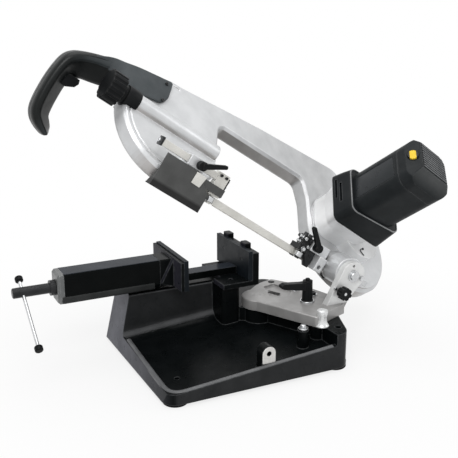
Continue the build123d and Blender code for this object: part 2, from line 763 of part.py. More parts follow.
# Bow casting: two wheel cases joined by the beam and the neck
beam_points = [
    (idler_u, wheel_v + idler_case_radius),
    (-198, beam_top_mid),
    (7, beam_top_right),
    (74, 230),
    (119, 158),
    (drive_u, wheel_v),
    (drive_u - drive_case_radius, wheel_v),
    (-70, 132),
    (-84, beam_low_right),
    (idler_case_right, beam_low_left),
    (idler_case_right, wheel_v),
    (idler_u, wheel_v),
]


def bow_outline(plane, inset):
    """Face outline of the bow: idler case, beam, neck and drive case, drawn in by an inset."""
    with BuildSketch(plane) as outline:
        with Locations((idler_u, wheel_v)):
            Circle(idler_case_radius)
        with Locations((idler_case_right + 20, wheel_v)):
            Rectangle(40, 2 * idler_case_radius, mode=Mode.SUBTRACT)
        with Locations((drive_u, wheel_v)):
            Circle(drive_case_radius)
        with BuildLine():
            Polyline(*beam_points, close=True)
        make_face()
        for index, radius in [(1, 150), (2, 50), (3, 30), (7, 60), (8, 14), (9, 16)]:
            round_corner(outline, beam_points[index], radius)
        if inset > 0:
            offset(amount=-inset)
    return outline.sketch


cavity_radius = wheel_radius + 8
cavity_front = case_half - case_wall
band_reach = wheel_radius + slide_gap
tension_n = 13.0
tension_half = 10.0
tension_travel = 4.0
tension_top = 8.0
channel_left = idler_u - 30
channel_right = idler_u + 30 + tension_travel
shaft_bearing_radius = 21.0
holder_left = -376.0
holder_length = 32.0
right_holder_u = -76.0
right_holder_length = 40.0
right_bar_w = 26.0
right_bar_end = -34.0
handle_tongue = [(-456, 118), (-404, 136)]
with BuildPart() as bow_frame:
    extrude(bow_outline(wheel_at(-case_half), 0), amount=2 * case_half)
    chamfer(bow_frame.faces().sort_by(Axis(bow_origin, axle_n))[-1].edges(), case_bevel)
    # Groove inside the idler case's rim
    with BuildSketch(wheel_at(case_half)) as rim_groove:
        with Locations((idler_u, wheel_v)):
            Circle(idler_case_radius - 11)
            Circle(idler_case_radius - 14, mode=Mode.SUBTRACT)
        with Locations((idler_u + 110, wheel_v)):
            Rectangle(220, 3 * idler_case_radius, mode=Mode.SUBTRACT)
    extrude(rim_groove.sketch, amount=-1.5, mode=Mode.SUBTRACT)
    # Thicker front of the drive case, and the round housing of the tension screw
    disc(wheel_at(case_half - 1), drive_case_radius - 6, drive_case_front - case_half + 1, (drive_u, wheel_v))
    with BuildSketch(along_band(idler_u - idler_case_radius)) as screw_housing:
        with Locations((wheel_v, tension_n)):
            Circle(16)
    extrude(screw_housing.sketch, amount=2 * idler_case_radius - 16)
    # Hinge barrel, spring lug and tongue of the handle
    disc(Plane.XZ.offset(-barrel_back), barrel_radius, barrel_back - (ear_front + ear_thickness + slide_gap),
         (hinge_x, hinge_z))
    lug_side = Plane(origin=(hinge_x, spring_y - 9, hinge_z), x_dir=band_u, z_dir=(0, 1, 0))
    span(lug_side, (barrel_radius - 6, -6), (spring_lug_u + 6, 6), 4, 2)
    disc(lug_side, spring_pin_radius, 13, (spring_lug_u, 0))
    span(side_at(handle_y - 5), handle_tongue[0], handle_tongue[1], -10)
    # Holders of the two guide bars
    span(side_at(24), (holder_left, guide_bar_w - 10), (holder_left + holder_length, guide_bar_w + 10),
         24 - guide_bar_y + 11)
    span(side_at(14), (right_holder_u, right_bar_w - 10), (right_holder_u + right_holder_length, right_bar_w + 10),
         14 - guide_bar_y + 11)
    span(side_at(-20), (right_holder_u + 18, -12), (right_holder_u + 36, right_bar_w - 10), 18)
    # Wheel cavities, band channels and the tension block's channel, open towards the cover
    with BuildSketch(wheel_at(-case_half - 40)) as hollows:
        with Locations((idler_u, wheel_v)):
            Circle(cavity_radius)
        with Locations((idler_case_right - 2.2 + 20, wheel_v)):
            Rectangle(40, 2 * cavity_radius, mode=Mode.SUBTRACT)
        with Locations((drive_u, wheel_v)):
            Circle(cavity_radius)
        with Locations(((idler_u + drive_u) / 2, 2 * wheel_radius + 2)):
            Rectangle(wheel_centres, 9)
    extrude(hollows.sketch, amount=cavity_front + case_half + 40, mode=Mode.SUBTRACT)
    span(wheel_at(-case_half), (idler_u, -9), (idler_case_right + 10, 9), cavity_front + case_half, 0, Mode.SUBTRACT)
    span(wheel_at(-case_half), (-60, -9), (drive_u, 9), cavity_front + case_half, 0, Mode.SUBTRACT)
    span(wheel_at(0), (channel_left, wheel_v - tension_half - slide_gap),
         (channel_right, wheel_v + tension_half + slide_gap), tension_n + tension_top, 0, Mode.SUBTRACT)
    disc(along_band(idler_u - idler_case_radius - 10), 5 + running_fit, idler_case_radius, (wheel_v, tension_n),
         Mode.SUBTRACT)
    # Bores: hinge pin, drive shaft bearing and guide bars
    disc(Plane.XZ.offset(-pin_back - slide_gap), hinge_pin_radius + running_fit, 90, (hinge_x, hinge_z), Mode.SUBTRACT)
    disc(wheel_at(0), shaft_bearing_radius, 40, (drive_u, wheel_v), Mode.SUBTRACT)
    bar_side = guide_bar_side + 2 * slide_gap
    bar_plane = Plane(origin=bow_origin + Vector(0, guide_bar_y - blade_y, 0), x_dir=(0, 1, 0), z_dir=band_u)
    block(bar_plane.offset(-460), bar_side, bar_side, 200, (0, guide_bar_w), mode=Mode.SUBTRACT)
    block(bar_plane.offset(right_bar_end - 90), guide_bar_side, guide_bar_side, 90, (0, right_bar_w),
          mode=Mode.SUBTRACT)
    # Clamp screw holes in the holders
    disc(side_at(guide_bar_y), 3 + running_fit, 30, (holder_left + 22, guide_bar_w), Mode.SUBTRACT)
    disc(side_at(guide_bar_y), 3 + running_fit, 30, (right_holder_u + 8, right_bar_w), Mode.SUBTRACT)
    disc(side_at(-19), 4, 22, (right_holder_u + 27, -3), Mode.SUBTRACT)
write(bow_frame, "bow_frame")

cover_spots = [(idler_u - idler_case_radius + 8, wheel_v), (idler_u, wheel_v + idler_case_radius - 8), (-90, 205),
               (drive_u + drive_case_radius - 10, wheel_v)]
with BuildPart() as wheel_cover:
    extrude(bow_outline(wheel_at(-case_half), 2), amount=-cover_thickness)
    chamfer(wheel_cover.faces().sort_by(Axis(bow_origin, axle_n))[0].edges(), 1.5)
write(wheel_cover, "wheel_cover")

# Saw band: round both wheels, twisted upright between the guides
band_v = wheel_v - band_reach - band_thickness / 2
twist_left = (idler_u + 10, guide_left_u - 14)
twist_right = (guide_right_u + 14, drive_u - 20)


def band_section(u, turn):
    """Cross-section of the band at u, turned about its own length."""
    flat = cross_v * cos(radians(turn)) - axle_n * sin(radians(turn))
    with BuildSketch(Plane(origin=along_band(u, band_v).origin, x_dir=flat, z_dir=band_u)) as section:
        Rectangle(band_thickness, band_width)
    return section.sketch


with BuildPart() as saw_band:
    with BuildSketch(wheel_at(-band_width / 2)):
        with Locations(((idler_u + drive_u) / 2, wheel_v)):
            SlotCenterToCenter(wheel_centres, 2 * (band_reach + band_thickness))
            SlotCenterToCenter(wheel_centres, 2 * band_reach, mode=Mode.SUBTRACT)
    extrude(amount=band_width)
    span(wheel_at(-band_width), (twist_left[0], -5), (twist_right[1], 5), 2 * band_width, 0, Mode.SUBTRACT)
    loft([band_section(twist_left[0], 0), band_section(sum(twist_left) / 2, wheel_tilt / 2),
          band_section(twist_left[1], wheel_tilt)])
    loft([band_section(twist_right[0], wheel_tilt), band_section(sum(twist_right) / 2, wheel_tilt / 2),
          band_section(twist_right[1], 0)])
    extrude(band_section(twist_left[1], wheel_tilt), amount=twist_right[0] - twist_left[1])
write(saw_band, "saw_band")

# Wheels, axle, bearings and tension block
bearing_width = 6.0
idler_bearing_radius = 15.0
axle_radius = 7.0


def spoked_wheel(centre_u, bore):
    """Band wheel with a rim, a thinner web with round openings and a hub."""
    with BuildPart() as wheel:
        disc(wheel_at(-wheel_width / 2), wheel_radius, wheel_width, (centre_u, wheel_v))
        for face_n, heading in ((-wheel_width / 2, 1), (wheel_width / 2, -1)):
            with BuildSketch(wheel_at(face_n)) as dish:
                with Locations((centre_u, wheel_v)):
                    Circle(wheel_radius - 9)
                    Circle(27, mode=Mode.SUBTRACT)
            extrude(dish.sketch, amount=heading * 3.5, mode=Mode.SUBTRACT)
        with BuildSketch(wheel_at(-wheel_width / 2)) as windows:
            with Locations((centre_u, wheel_v)):
                with PolarLocations(54, 6):
                    Circle(16)
        extrude(windows.sketch, amount=wheel_width, mode=Mode.SUBTRACT)
        disc(wheel_at(-wheel_width / 2), bore, wheel_width, (centre_u, wheel_v), Mode.SUBTRACT)
    return wheel


def bearing(centre, start, outer, inner, width):
    """Ball bearing as one ring with a shield groove on each side."""
    with BuildPart() as ring:
        disc(wheel_at(start), outer, width, centre)
        for face_n, heading in ((start, 1), (start + width, -1)):
            with BuildSketch(wheel_at(face_n)) as shield:
                with Locations(centre):
                    Circle(outer - 0.28 * (outer - inner))
                    Circle(inner + 0.28 * (outer - inner), mode=Mode.SUBTRACT)
            extrude(shield.sketch, amount=heading * 0.6, mode=Mode.SUBTRACT)
        disc(wheel_at(start), inner, width, centre, Mode.SUBTRACT)
    return ring.part


idler_wheel = spoked_wheel(idler_u, idler_bearing_radius)
write(idler_wheel, "idler_wheel")
with BuildPart() as idler_bearings:
    for start in (-wheel_width / 2, wheel_width / 2 - bearing_width):
        add(bearing((idler_u, wheel_v), start, idler_bearing_radius, axle_radius + running_fit, bearing_width))
write(idler_bearings, "idler_bearings")

block_low = cavity_front + slide_gap
block_high = tension_n + tension_top - slide_gap
with BuildPart() as tension_block:
    block(wheel_at(block_low), 44, 2 * tension_half, block_high - block_low, (idler_u, wheel_v))
    disc(along_band(idler_u - 22), 4 + running_fit, 24, (wheel_v, tension_n), Mode.SUBTRACT)
    disc(wheel_at(block_low), axle_radius - 2, block_high - block_low - 3, (idler_u + 10, wheel_v), Mode.SUBTRACT)
write(tension_block, "tension_block")

with BuildPart() as idler_axle:
    disc(wheel_at(-wheel_width / 2 - 2), axle_radius, block_low + wheel_width / 2 + 2, (idler_u, wheel_v))
    disc(wheel_at(-wheel_width / 2 - 5), axle_radius + 3, 5 - slide_gap, (idler_u, wheel_v))
write(idler_axle, "idler_axle")

# Tension screw and its fluted knob
knob_u = idler_u - idler_case_radius - slide_gap
with BuildPart() as tension_knob:
    disc(along_band(knob_u), 5, idler_case_radius - 22, (wheel_v, tension_n))
    disc(along_band(idler_u - 22 - 8), 4, 28, (wheel_v, tension_n))
    disc(along_band(knob_u), 16, -12, (wheel_v, tension_n))
    with BuildSketch(along_band(knob_u - 10)) as flutes:
        with Locations((wheel_v, tension_n)):
            Circle(27)
            with PolarLocations(29.5, 14):
                Circle(4.5, mode=Mode.SUBTRACT)
    extrude(flutes.sketch, amount=-26)
    chamfer(tension_knob.faces().sort_by(Axis(bow_origin, band_u))[0].edges(), 1)
write(tension_knob, "tension_knob")

# Drive train
drive_spot = (drive_u, wheel_v)
motor_spot = (motor_u, motor_v)
gear_module = 2 * hypot(drive_u - motor_u, wheel_v - motor_v) / (gear_teeth + pinion_teeth)
mesh_angle = degrees(atan2(motor_v - wheel_v, motor_u - drive_u))


def toothed(centre, teeth, start_angle, start, width):
    """Spur gear: a root disc with straight-flanked teeth round it."""
    pitch_radius = gear_module * teeth / 2
    root = pitch_radius - 1.15 * gear_module
    crest = pitch_radius + 0.85 * gear_module
    half = 0.20 * pi * gear_module
    with BuildSketch(wheel_at(start)) as blank:
        with Locations(centre):
            Circle(root)
            with PolarLocations(root - 0.4, teeth, start_angle=start_angle):
                Polygon((0, -half - 0.75), (0.4, -half - 0.7), (crest - root + 0.4, -half + 0.55),
                        (crest - root + 0.4, half - 0.55), (0.4, half + 0.7), (0, half + 0.75), align=None)
    extrude(blank.sketch, amount=width)


drive_wheel = spoked_wheel(drive_u, drive_shaft_radius)
write(drive_wheel, "drive_wheel")
with BuildPart() as drive_shaft:
    disc(wheel_at(-wheel_width / 2 - 1), drive_shaft_radius, gear_start + gear_width + wheel_width / 2 + 1, drive_spot)
    disc(wheel_at(gear_start + gear_width), drive_shaft_radius - 2.5, 12.5, drive_spot)
    disc(wheel_at(-wheel_width / 2 - 5), drive_shaft_radius + 5, 5, drive_spot)
write(drive_shaft, "drive_shaft")

with BuildPart() as drive_gear:
    toothed(drive_spot, gear_teeth, mesh_angle + 180 / gear_teeth, gear_start, gear_width)
    disc(wheel_at(gear_start), drive_shaft_radius, gear_width, drive_spot, Mode.SUBTRACT)
write(drive_gear, "drive_gear")

end_bearing_start = gear_start + gear_width + 4
front_bearing_start = 58.0
rear_bearing_start = motor_end - 26
with BuildPart() as shaft_bearings:
    add(bearing(drive_spot, drive_case_front - 9, shaft_bearing_radius, drive_shaft_radius + running_fit, 9))
    add(bearing(drive_spot, end_bearing_start, 16, drive_shaft_radius - 2.5 + running_fit, 9))
write(shaft_bearings, "shaft_bearings")

with BuildPart() as motor_bearings:
    add(bearing(motor_spot, front_bearing_start, 13, motor_shaft_radius + running_fit, 8))
    add(bearing(motor_spot, rear_bearing_start, 13, motor_shaft_radius + running_fit, 8))
write(motor_bearings, "motor_bearings")

housing_split = 46.0
gear_room = gear_module * (gear_teeth / 2 + 1) + 2.5
with BuildPart() as gear_housing:
    with BuildSketch(wheel_at(drive_case_front)) as foot:
        with Locations(drive_spot):
            Circle(gear_room + 6)
        with Locations(motor_spot):
            RectangleRounded(skirt_width - 18, skirt_height - 10, 26)
    extrude(foot.sketch, amount=housing_split - drive_case_front)
    with BuildSketch(wheel_at(housing_split)) as flare_low:
        with Locations(motor_spot):
            RectangleRounded(skirt_width - 18, skirt_height - 10, 26)
    with BuildSketch(wheel_at(skirt_start)) as flare_high:
        with Locations(motor_spot):
            RectangleRounded(skirt_width, skirt_height, 28)
    loft([flare_low.sketch, flare_high.sketch])
    disc(wheel_at(0), gear_room, gear_start + gear_width + 2, drive_spot, Mode.SUBTRACT)
    disc(wheel_at(0), gear_module * (pinion_teeth / 2 + 1) + 2.5, gear_start + gear_width + 4, motor_spot,
         Mode.SUBTRACT)
    disc(wheel_at(end_bearing_start), 16, 9, drive_spot, Mode.SUBTRACT)
    disc(wheel_at(gear_start), drive_shaft_radius, 20, drive_spot, Mode.SUBTRACT)
    disc(wheel_at(0), motor_shaft_radius + 3, skirt_start, motor_spot, Mode.SUBTRACT)
    disc(wheel_at(front_bearing_start), 13, skirt_start - front_bearing_start, motor_spot, Mode.SUBTRACT)
write(gear_housing, "gear_housing")

with BuildPart() as motor_skirt:
    with BuildSketch(wheel_at(skirt_start)) as wide:
        with Locations(motor_spot):
            RectangleRounded(skirt_width, skirt_height, 28)
    with BuildSketch(wheel_at(motor_start)) as narrow:
        with Locations(motor_spot):
            RectangleRounded(motor_side + 6, motor_side + 4, 27)
    loft([wide.sketch, narrow.sketch])
    block(wheel_at(skirt_start), motor_side - 8, motor_side - 8, motor_start - skirt_start, motor_spot, 22,
          Mode.SUBTRACT)
    for slot_n, slot_v in ((skirt_start + 7, motor_v + 10), (skirt_start + 16, motor_v - 2)):
        span(along_band(motor_u - skirt_width / 2 - 2), (slot_v - 20, slot_n - 2.5), (slot_v + 20, slot_n + 2.5), 18,
             2, Mode.SUBTRACT)
write(motor_skirt, "motor_skirt")

inner_side = motor_side - 2 * motor_wall
cap_start = motor_end - end_cap_length
with BuildPart() as motor_case:
    block(wheel_at(motor_start), motor_side, motor_side, cap_start - motor_start, motor_spot, motor_corner)
    block(wheel_at(motor_start), inner_side, inner_side, cap_start - motor_start, motor_spot,
          motor_corner - motor_wall, Mode.SUBTRACT)
    side_panel = Plane(origin=bow_origin + band_u * (motor_u - motor_side / 2 + 1), x_dir=cross_v, z_dir=band_u)
    span(side_panel, (motor_v - 24, motor_start + 10), (motor_v + 24, cap_start - 8), -4, 3, Mode.SUBTRACT)
write(motor_case, "motor_case")

motor_low_u = motor_u - motor_side / 2
motor_low_v = motor_v - motor_side / 2
dial_origin = bow_origin + band_u * (motor_low_u + side_bevel[0] / 2) + cross_v * (motor_v + 7)
dial_plane = Plane(
    origin=dial_origin + axle_n * (motor_end - side_bevel[1] / 2),
    x_dir=cross_v,
    z_dir=axle_n * side_bevel[0] - band_u * side_bevel[1],
)
dial_radius = 10.0
dial_seat = 5.0
bevel_side = Plane(origin=bow_origin + cross_v * (motor_low_v - 1), x_dir=band_u, z_dir=cross_v * -1)
with BuildPart() as motor_end_cap:
    block(wheel_at(cap_start), motor_side, motor_side, end_cap_length, motor_spot, motor_corner)
    chamfer(motor_end_cap.faces().sort_by(Axis(bow_origin, axle_n))[-1].edges(), end_bevel)
    block(wheel_at(cap_start), inner_side, inner_side, cap_hollow, motor_spot, motor_corner - motor_wall,
          Mode.SUBTRACT)
    # Bearing seat in the middle of the end
    disc(wheel_at(cap_start), 17, cap_hollow, motor_spot)
    disc(wheel_at(cap_start), 13, rear_bearing_start + 8 - cap_start, motor_spot, Mode.SUBTRACT)
    disc(wheel_at(cap_start), motor_shaft_radius + 1, rear_bearing_start + 12 - cap_start, motor_spot, Mode.SUBTRACT)
    # Wide bevels towards the side and the underside
    shape(bevel_side, [(motor_low_u - 1, motor_end - side_bevel[1]), (motor_low_u + side_bevel[0], motor_end + 1),
                       (motor_low_u - 1, motor_end + 1)], -motor_side - 2, mode=Mode.SUBTRACT)
    shape(along_band(motor_low_u - 1), [(motor_low_v - 1, motor_end - low_bevel[1]), (motor_low_v - 1, motor_end + 1),
                                        (motor_low_v + low_bevel[0], motor_end + 1)], motor_side + 2,
          mode=Mode.SUBTRACT)
    # Air slots
    for slot in range(slot_count):
        slot_v = motor_v + 44 - slot * slot_step
        span(wheel_at(motor_end - 6), (motor_u - 27, slot_v - 1.4), (motor_u + 42, slot_v + 1.4), 12, 0, Mode.SUBTRACT)
    disc(dial_plane.offset(-dial_seat), dial_radius + slide_gap, 20, mode=Mode.SUBTRACT)
write(motor_end_cap, "motor_end_cap")

with BuildPart() as speed_dial:
    disc(dial_plane.offset(slide_gap - dial_seat), dial_radius, dial_seat + 3)
    with BuildSketch(dial_plane.offset(slide_gap + 3)) as grips:
        with PolarLocations(dial_radius + 0.6, 14):
            Circle(1.3)
    extrude(grips.sketch, amount=-4, mode=Mode.SUBTRACT)
write(speed_dial, "speed_dial")

stator_radius = 29.0
core_start = 138.0
core_length = 54.0
with BuildPart() as stator:
    block(wheel_at(core_start), inner_side - 2 * slide_gap, inner_side - 2 * slide_gap, core_length, motor_spot,
          motor_corner - motor_wall)
    disc(wheel_at(core_start), stator_radius, core_length, motor_spot, Mode.SUBTRACT)
write(stator, "stator")

with BuildPart() as armature:
    disc(wheel_at(gear_start - 4), motor_shaft_radius, rear_bearing_start + 10 - gear_start + 4, motor_spot)
    disc(wheel_at(core_start), stator_radius - 0.8, core_length, motor_spot)
    with BuildSketch(wheel_at(core_start)) as core_slots:
        with Locations(motor_spot):
            with PolarLocations(stator_radius - 3, 12):
                Rectangle(7, 3)
    extrude(core_slots.sketch, amount=core_length, mode=Mode.SUBTRACT)
    disc(wheel_at(core_start + core_length + 10), 13, 16, motor_spot)
write(armature, "armature")

with BuildPart() as motor_pinion:
    toothed(motor_spot, pinion_teeth, mesh_angle + 180, gear_start - 1, gear_width + 2)
    disc(wheel_at(gear_start - 1), motor_shaft_radius, gear_width + 2, motor_spot, Mode.SUBTRACT)
write(motor_pinion, "motor_pinion")

with BuildPart() as cooling_fan:
    disc(wheel_at(108), 36, 3, motor_spot)
    with BuildSketch(wheel_at(111)) as blades:
        with Locations(motor_spot):
            with PolarLocations(24, 10):
                Rectangle(22, 2.4, rotation=18)
    extrude(blades.sketch, amount=10)
    disc(wheel_at(108), 11, 13, motor_spot)
    disc(wheel_at(100), motor_shaft_radius, 30, motor_spot, Mode.SUBTRACT)
write(cooling_fan, "cooling_fan")

# Band guides: block with two rollers at the end of each guide bar
roller_y = roller_radius + band_thickness / 2 + slide_gap
band_y = blade_y + band_v * sin(radians(wheel_tilt))
band_mid_w = band_v * cos(radians(wheel_tilt))
roller_low = band_mid_w - roller_height / 2
yoke_half = roller_y + 5


def roller_plane(u, heading):
    """Plane under the roller on one side of the band, facing up from the band."""
    origin = side_at(band_y + heading * roller_y).from_local_coords((u, roller_low, 0))
    return Plane(origin=origin, x_dir=band_u, z_dir=band_w)


def roller(u, heading):
    """Guide roller that turns about an upright axle beside the band."""
    plane = roller_plane(u, heading)
    with BuildPart() as wheel:
        disc(plane, roller_radius, roller_height)
        chamfer(wheel.edges().filter_by(GeomType.CIRCLE), 0.8)
        disc(plane, 2.5 + running_fit, roller_height, mode=Mode.SUBTRACT)
    return wheel


def guide_block(u, bar_w, bar_start, bar_end):
    """Guide casting: square bar, block over the band and the two roller axles."""
    top = bar_w + guide_bar_side / 2 + 4
    crown = band_mid_w + band_width / 2 + 2 * slide_gap
    low = u - guide_block_width / 2
    high = u + guide_block_width / 2
    with BuildPart() as casting:
        block(bar_plane.offset(bar_start), guide_bar_side, guide_bar_side, bar_end - bar_start, (0, bar_w))
        span(side_at(band_y + yoke_half), (low, crown), (high, crown + 10), 2 * yoke_half)
        span(side_at(guide_bar_y + 7), (low, crown), (high, top), 14)
        for heading in (-1, 1):
            axle = roller_plane(u, heading)
            disc(axle, 2.5, roller_height + 6)
            disc(axle.offset(-slide_gap), 4.5, -3)
            disc(axle.offset(-slide_gap), 2.5, slide_gap)
    return casting


left_guide_block = guide_block(guide_left_u, guide_bar_w, guide_bar_left, guide_left_u)
write(left_guide_block, "left_guide_block")
right_guide_block = guide_block(guide_right_u, right_bar_w, guide_right_u, right_bar_end)
write(right_guide_block, "right_guide_block")
for label, roller_u, heading in (
    ("left_front_roller", guide_left_u, -1),
    ("left_rear_roller", guide_left_u, 1),
    ("right_front_roller", guide_right_u, -1),
    ("right_rear_roller", guide_right_u, 1),
):
    write(roller(roller_u, heading), label)

guard_right = guide_left_u - guide_block_width / 2 - 3
guard_front = -31.0
strap_front = guard_front + guard_sheet
block_front = guide_bar_y - 7
with BuildPart() as band_guard:
    shape(side_at(strap_front), [(guard_left, guard_bottom), (guard_right, guard_bottom), (guard_right, 2),
                                 (guard_right - 36, guard_top), (guard_left, guard_top)], guard_sheet)
    span(side_at(strap_front + 18), (guard_left, guard_bottom), (guard_right, guard_bottom + guard_sheet), 18)
    shape(bar_plane.offset(guard_left), [(strap_front - guide_bar_y, guard_bottom), (strap_front - guide_bar_y, 0),
                                         (strap_front - guide_bar_y + 18, guard_bottom)], guard_sheet)
    span(side_at(block_front), (guard_right - 33, 10), (guide_left_u + guide_block_width / 2, 24),
         block_front - strap_front)
write(band_guard, "band_guard")


def clamp_lever(u, w, front, lean):
    """Black clamp lever on a screw that runs into a guide bar holder."""
    pivot = Plane(origin=side_at(front).from_local_coords((u, w, 0)), x_dir=band_u, z_dir=(0, -1, 0))
    with BuildPart() as lever:
        disc(pivot.offset(slide_gap), 3, -5)
        disc(pivot.offset(slide_gap), 8, 12)
        turned = Plane(origin=pivot.origin, z_dir=pivot.z_dir,
                       x_dir=band_u * cos(radians(lean)) + band_w * sin(radians(lean)))
        with BuildSketch(turned.offset(6)) as grip:
            with BuildLine():
                Polyline((0, -5), (20, -4), (44, -3.2), (44, 3.2), (20, 4), (0, 5), close=True)
            make_face()
            fillet(grip.vertices().group_by(Axis.X)[-1], 2.5)
        extrude(grip.sketch, amount=8)
    return lever


holder_front = guide_bar_y - 11
left_clamp_lever = clamp_lever(holder_left + 22, guide_bar_w, holder_front, 27)
write(left_clamp_lever, "left_clamp_lever")
right_clamp_lever = clamp_lever(right_holder_u + 8, right_bar_w, holder_front, 140)
write(right_clamp_lever, "right_clamp_lever")

# Handle: two shells round the bow's tongue, a cover plate and the trigger
handle_top = [(-400, 152), (-493, 133), (-580, 104), (-603, 84), (-604, 16), (-600, -32), (-566, -51), (-553, -36),
              (-567, -8), (-569, 66), (-502, 86), (-404, 112)]


def handle_face(plane, inset):
    """Handle outline in the upright plane: arm, rounded knuckle, grip and foot."""
    with BuildSketch(plane) as outline:
        with BuildLine():
            Polyline(*handle_top, close=True)
        make_face()
        for index, radius in ((2, 24), (3, 26), (5, 8), (6, 8), (7, 6), (9, 9)):
            round_corner(outline, handle_top[index], radius)
        if inset > 0:
            offset(amount=-inset)
    return outline.sketch


trigger_low = (-572, 37)
trigger_high = (-553, 59)


def handle_shell(heading):
    """One half of the handle, hollow, cut to sit on the rim of the idler case."""
    half = handle_thickness / 2
    with BuildPart() as shell:
        extrude(handle_face(side_at(handle_y), 0), amount=heading * half)
        outer = shell.faces().sort_by(Axis.Y)[0 if heading > 0 else -1]
        fillet(outer.edges(), handle_round)
        extrude(handle_face(side_at(handle_y), handle_wall), amount=heading * (half - handle_wall), mode=Mode.SUBTRACT)
        disc(wheel_at(-case_half - cover_thickness - 4), idler_case_radius + slide_gap, 2 * case_half + 24,
             (idler_u, wheel_v), Mode.SUBTRACT)
        span(side_at(handle_y), (handle_tongue[0][0] - slide_gap, handle_tongue[0][1] - slide_gap),
             (handle_tongue[1][0], handle_tongue[1][1] + slide_gap), heading * (5 + slide_gap), 0, Mode.SUBTRACT)
        span(side_at(handle_y), (trigger_low[0] - 3, trigger_low[1] - slide_gap),
             (trigger_high[0], trigger_high[1] + slide_gap), heading * (6 + slide_gap), 0, Mode.SUBTRACT)
    return shell


handle_front = handle_shell(1)
write(handle_front, "handle_front")
handle_rear = handle_shell(-1)
write(handle_rear, "handle_rear")

with BuildPart() as trigger:
    with BuildSketch(side_at(handle_y + 6)) as finger:
        with BuildLine():
            Polyline((-590, 38), (-572, 37), (-558, 44), (-554, 52), (-556, 59), (-572, 59), (-590, 57), close=True)
        make_face()
    extrude(finger.sketch, amount=12)
write(trigger, "trigger")

plate_front = handle_y - handle_thickness / 2
with BuildPart() as handle_plate:
    shape(side_at(plate_front), [(-424, 140), (-424, 118), (-500, 97), (-572, 84), (-584, 92), (-570, 101),
                                 (-494, 126)], 2)
    disc(wheel_at(-case_half - cover_thickness - 4), idler_case_radius + slide_gap, 2 * case_half + 24,
         (idler_u, wheel_v), Mode.SUBTRACT)
    # Cover on the face of the bow
    with BuildSketch(wheel_at(case_half)) as face_cover:
        add(bow_outline(wheel_at(0), 0).moved(wheel_at(0).location.inverse()))
        with BuildLine():
            Polyline((-510, 112), (-484, 112), (-457, 118), (-428, 130), (-415, 142), (-415, 210), (-510, 210),
                     close=True)
        make_face(mode=Mode.INTERSECT)
    extrude(face_cover.sketch, amount=cover_rise)
write(handle_plate, "handle_plate")

with BuildPart() as casing_screws:
    for spot in ((-440, 128), (-540, 100), (-590, 0)):
        disc(side_at(handle_y + handle_thickness / 2), 4, -2.5, spot)
    for spot in cover_spots:
        disc(wheel_at(-case_half - cover_thickness), 5, -3, spot)
write(casing_screws, "casing_screws")
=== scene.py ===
import bmesh
import bpy
from math import cos, pi, radians, sin
from mathutils import Matrix, Vector


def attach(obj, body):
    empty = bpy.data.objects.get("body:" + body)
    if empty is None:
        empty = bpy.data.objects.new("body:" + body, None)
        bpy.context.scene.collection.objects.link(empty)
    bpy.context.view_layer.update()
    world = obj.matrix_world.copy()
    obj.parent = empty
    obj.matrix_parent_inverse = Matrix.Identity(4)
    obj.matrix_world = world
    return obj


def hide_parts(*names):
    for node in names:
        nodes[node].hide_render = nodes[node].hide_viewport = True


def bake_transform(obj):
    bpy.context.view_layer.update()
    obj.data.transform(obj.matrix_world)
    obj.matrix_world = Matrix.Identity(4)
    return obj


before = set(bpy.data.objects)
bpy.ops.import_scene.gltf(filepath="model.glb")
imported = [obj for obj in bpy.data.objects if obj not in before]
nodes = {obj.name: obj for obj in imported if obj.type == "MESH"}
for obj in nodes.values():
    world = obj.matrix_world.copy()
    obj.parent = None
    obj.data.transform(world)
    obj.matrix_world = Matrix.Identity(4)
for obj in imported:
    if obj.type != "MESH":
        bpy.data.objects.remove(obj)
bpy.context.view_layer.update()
scene = bpy.context.scene
scene.view_settings.view_transform = "Standard"

mm = 0.001
upward = Vector((0, 0, 1))
forward = Vector((0, -1, 0))

# Directions of the raised bow: u along the band, w up from it, v across the wheels and n along
# the axles
raise_angle = radians(34.7)
lean_share = 0.5 ** 0.5
bow_u = Vector((cos(raise_angle), 0, -sin(raise_angle)))
bow_w = Vector((sin(raise_angle), 0, cos(raise_angle)))
bow_v = (bow_w - forward) * lean_share
bow_n = (bow_w + forward) * lean_share
hinge_x, hinge_z = 0.2204, 0.1376
band_below_hinge = 0.016
bow_origin = Vector((hinge_x, -0.0065, hinge_z)) - bow_w * band_below_hinge


def bow_point(u, v, n):
    """Point of the bow in millimetres of u, v and n."""
    return bow_origin + (bow_u * u + bow_v * v + bow_n * n) * mm


def side_point(u, w, y):
    """Point of the bow in millimetres of u, w and depth y."""
    spot = bow_origin + (bow_u * u + bow_w * w) * mm
    spot.y = y * mm
    return spot


# Camera at the photograph's place
camera_spot = (-0.5901, -1.2171, 0.6305)
look = Vector((0.4223, 0.8620, -0.2807)).normalized()
right = look.cross(upward).normalized()
camera = bpy.data.objects.new("camera", bpy.data.cameras.new("camera"))
scene.collection.objects.link(camera)
turn = Matrix((right, right.cross(look), -look)).transposed()
camera.matrix_world = Matrix.Translation(camera_spot) @ turn.to_4x4()
camera.data.sensor_width = 36.0
camera.data.lens = 63.67
scene.camera = camera

# Materials


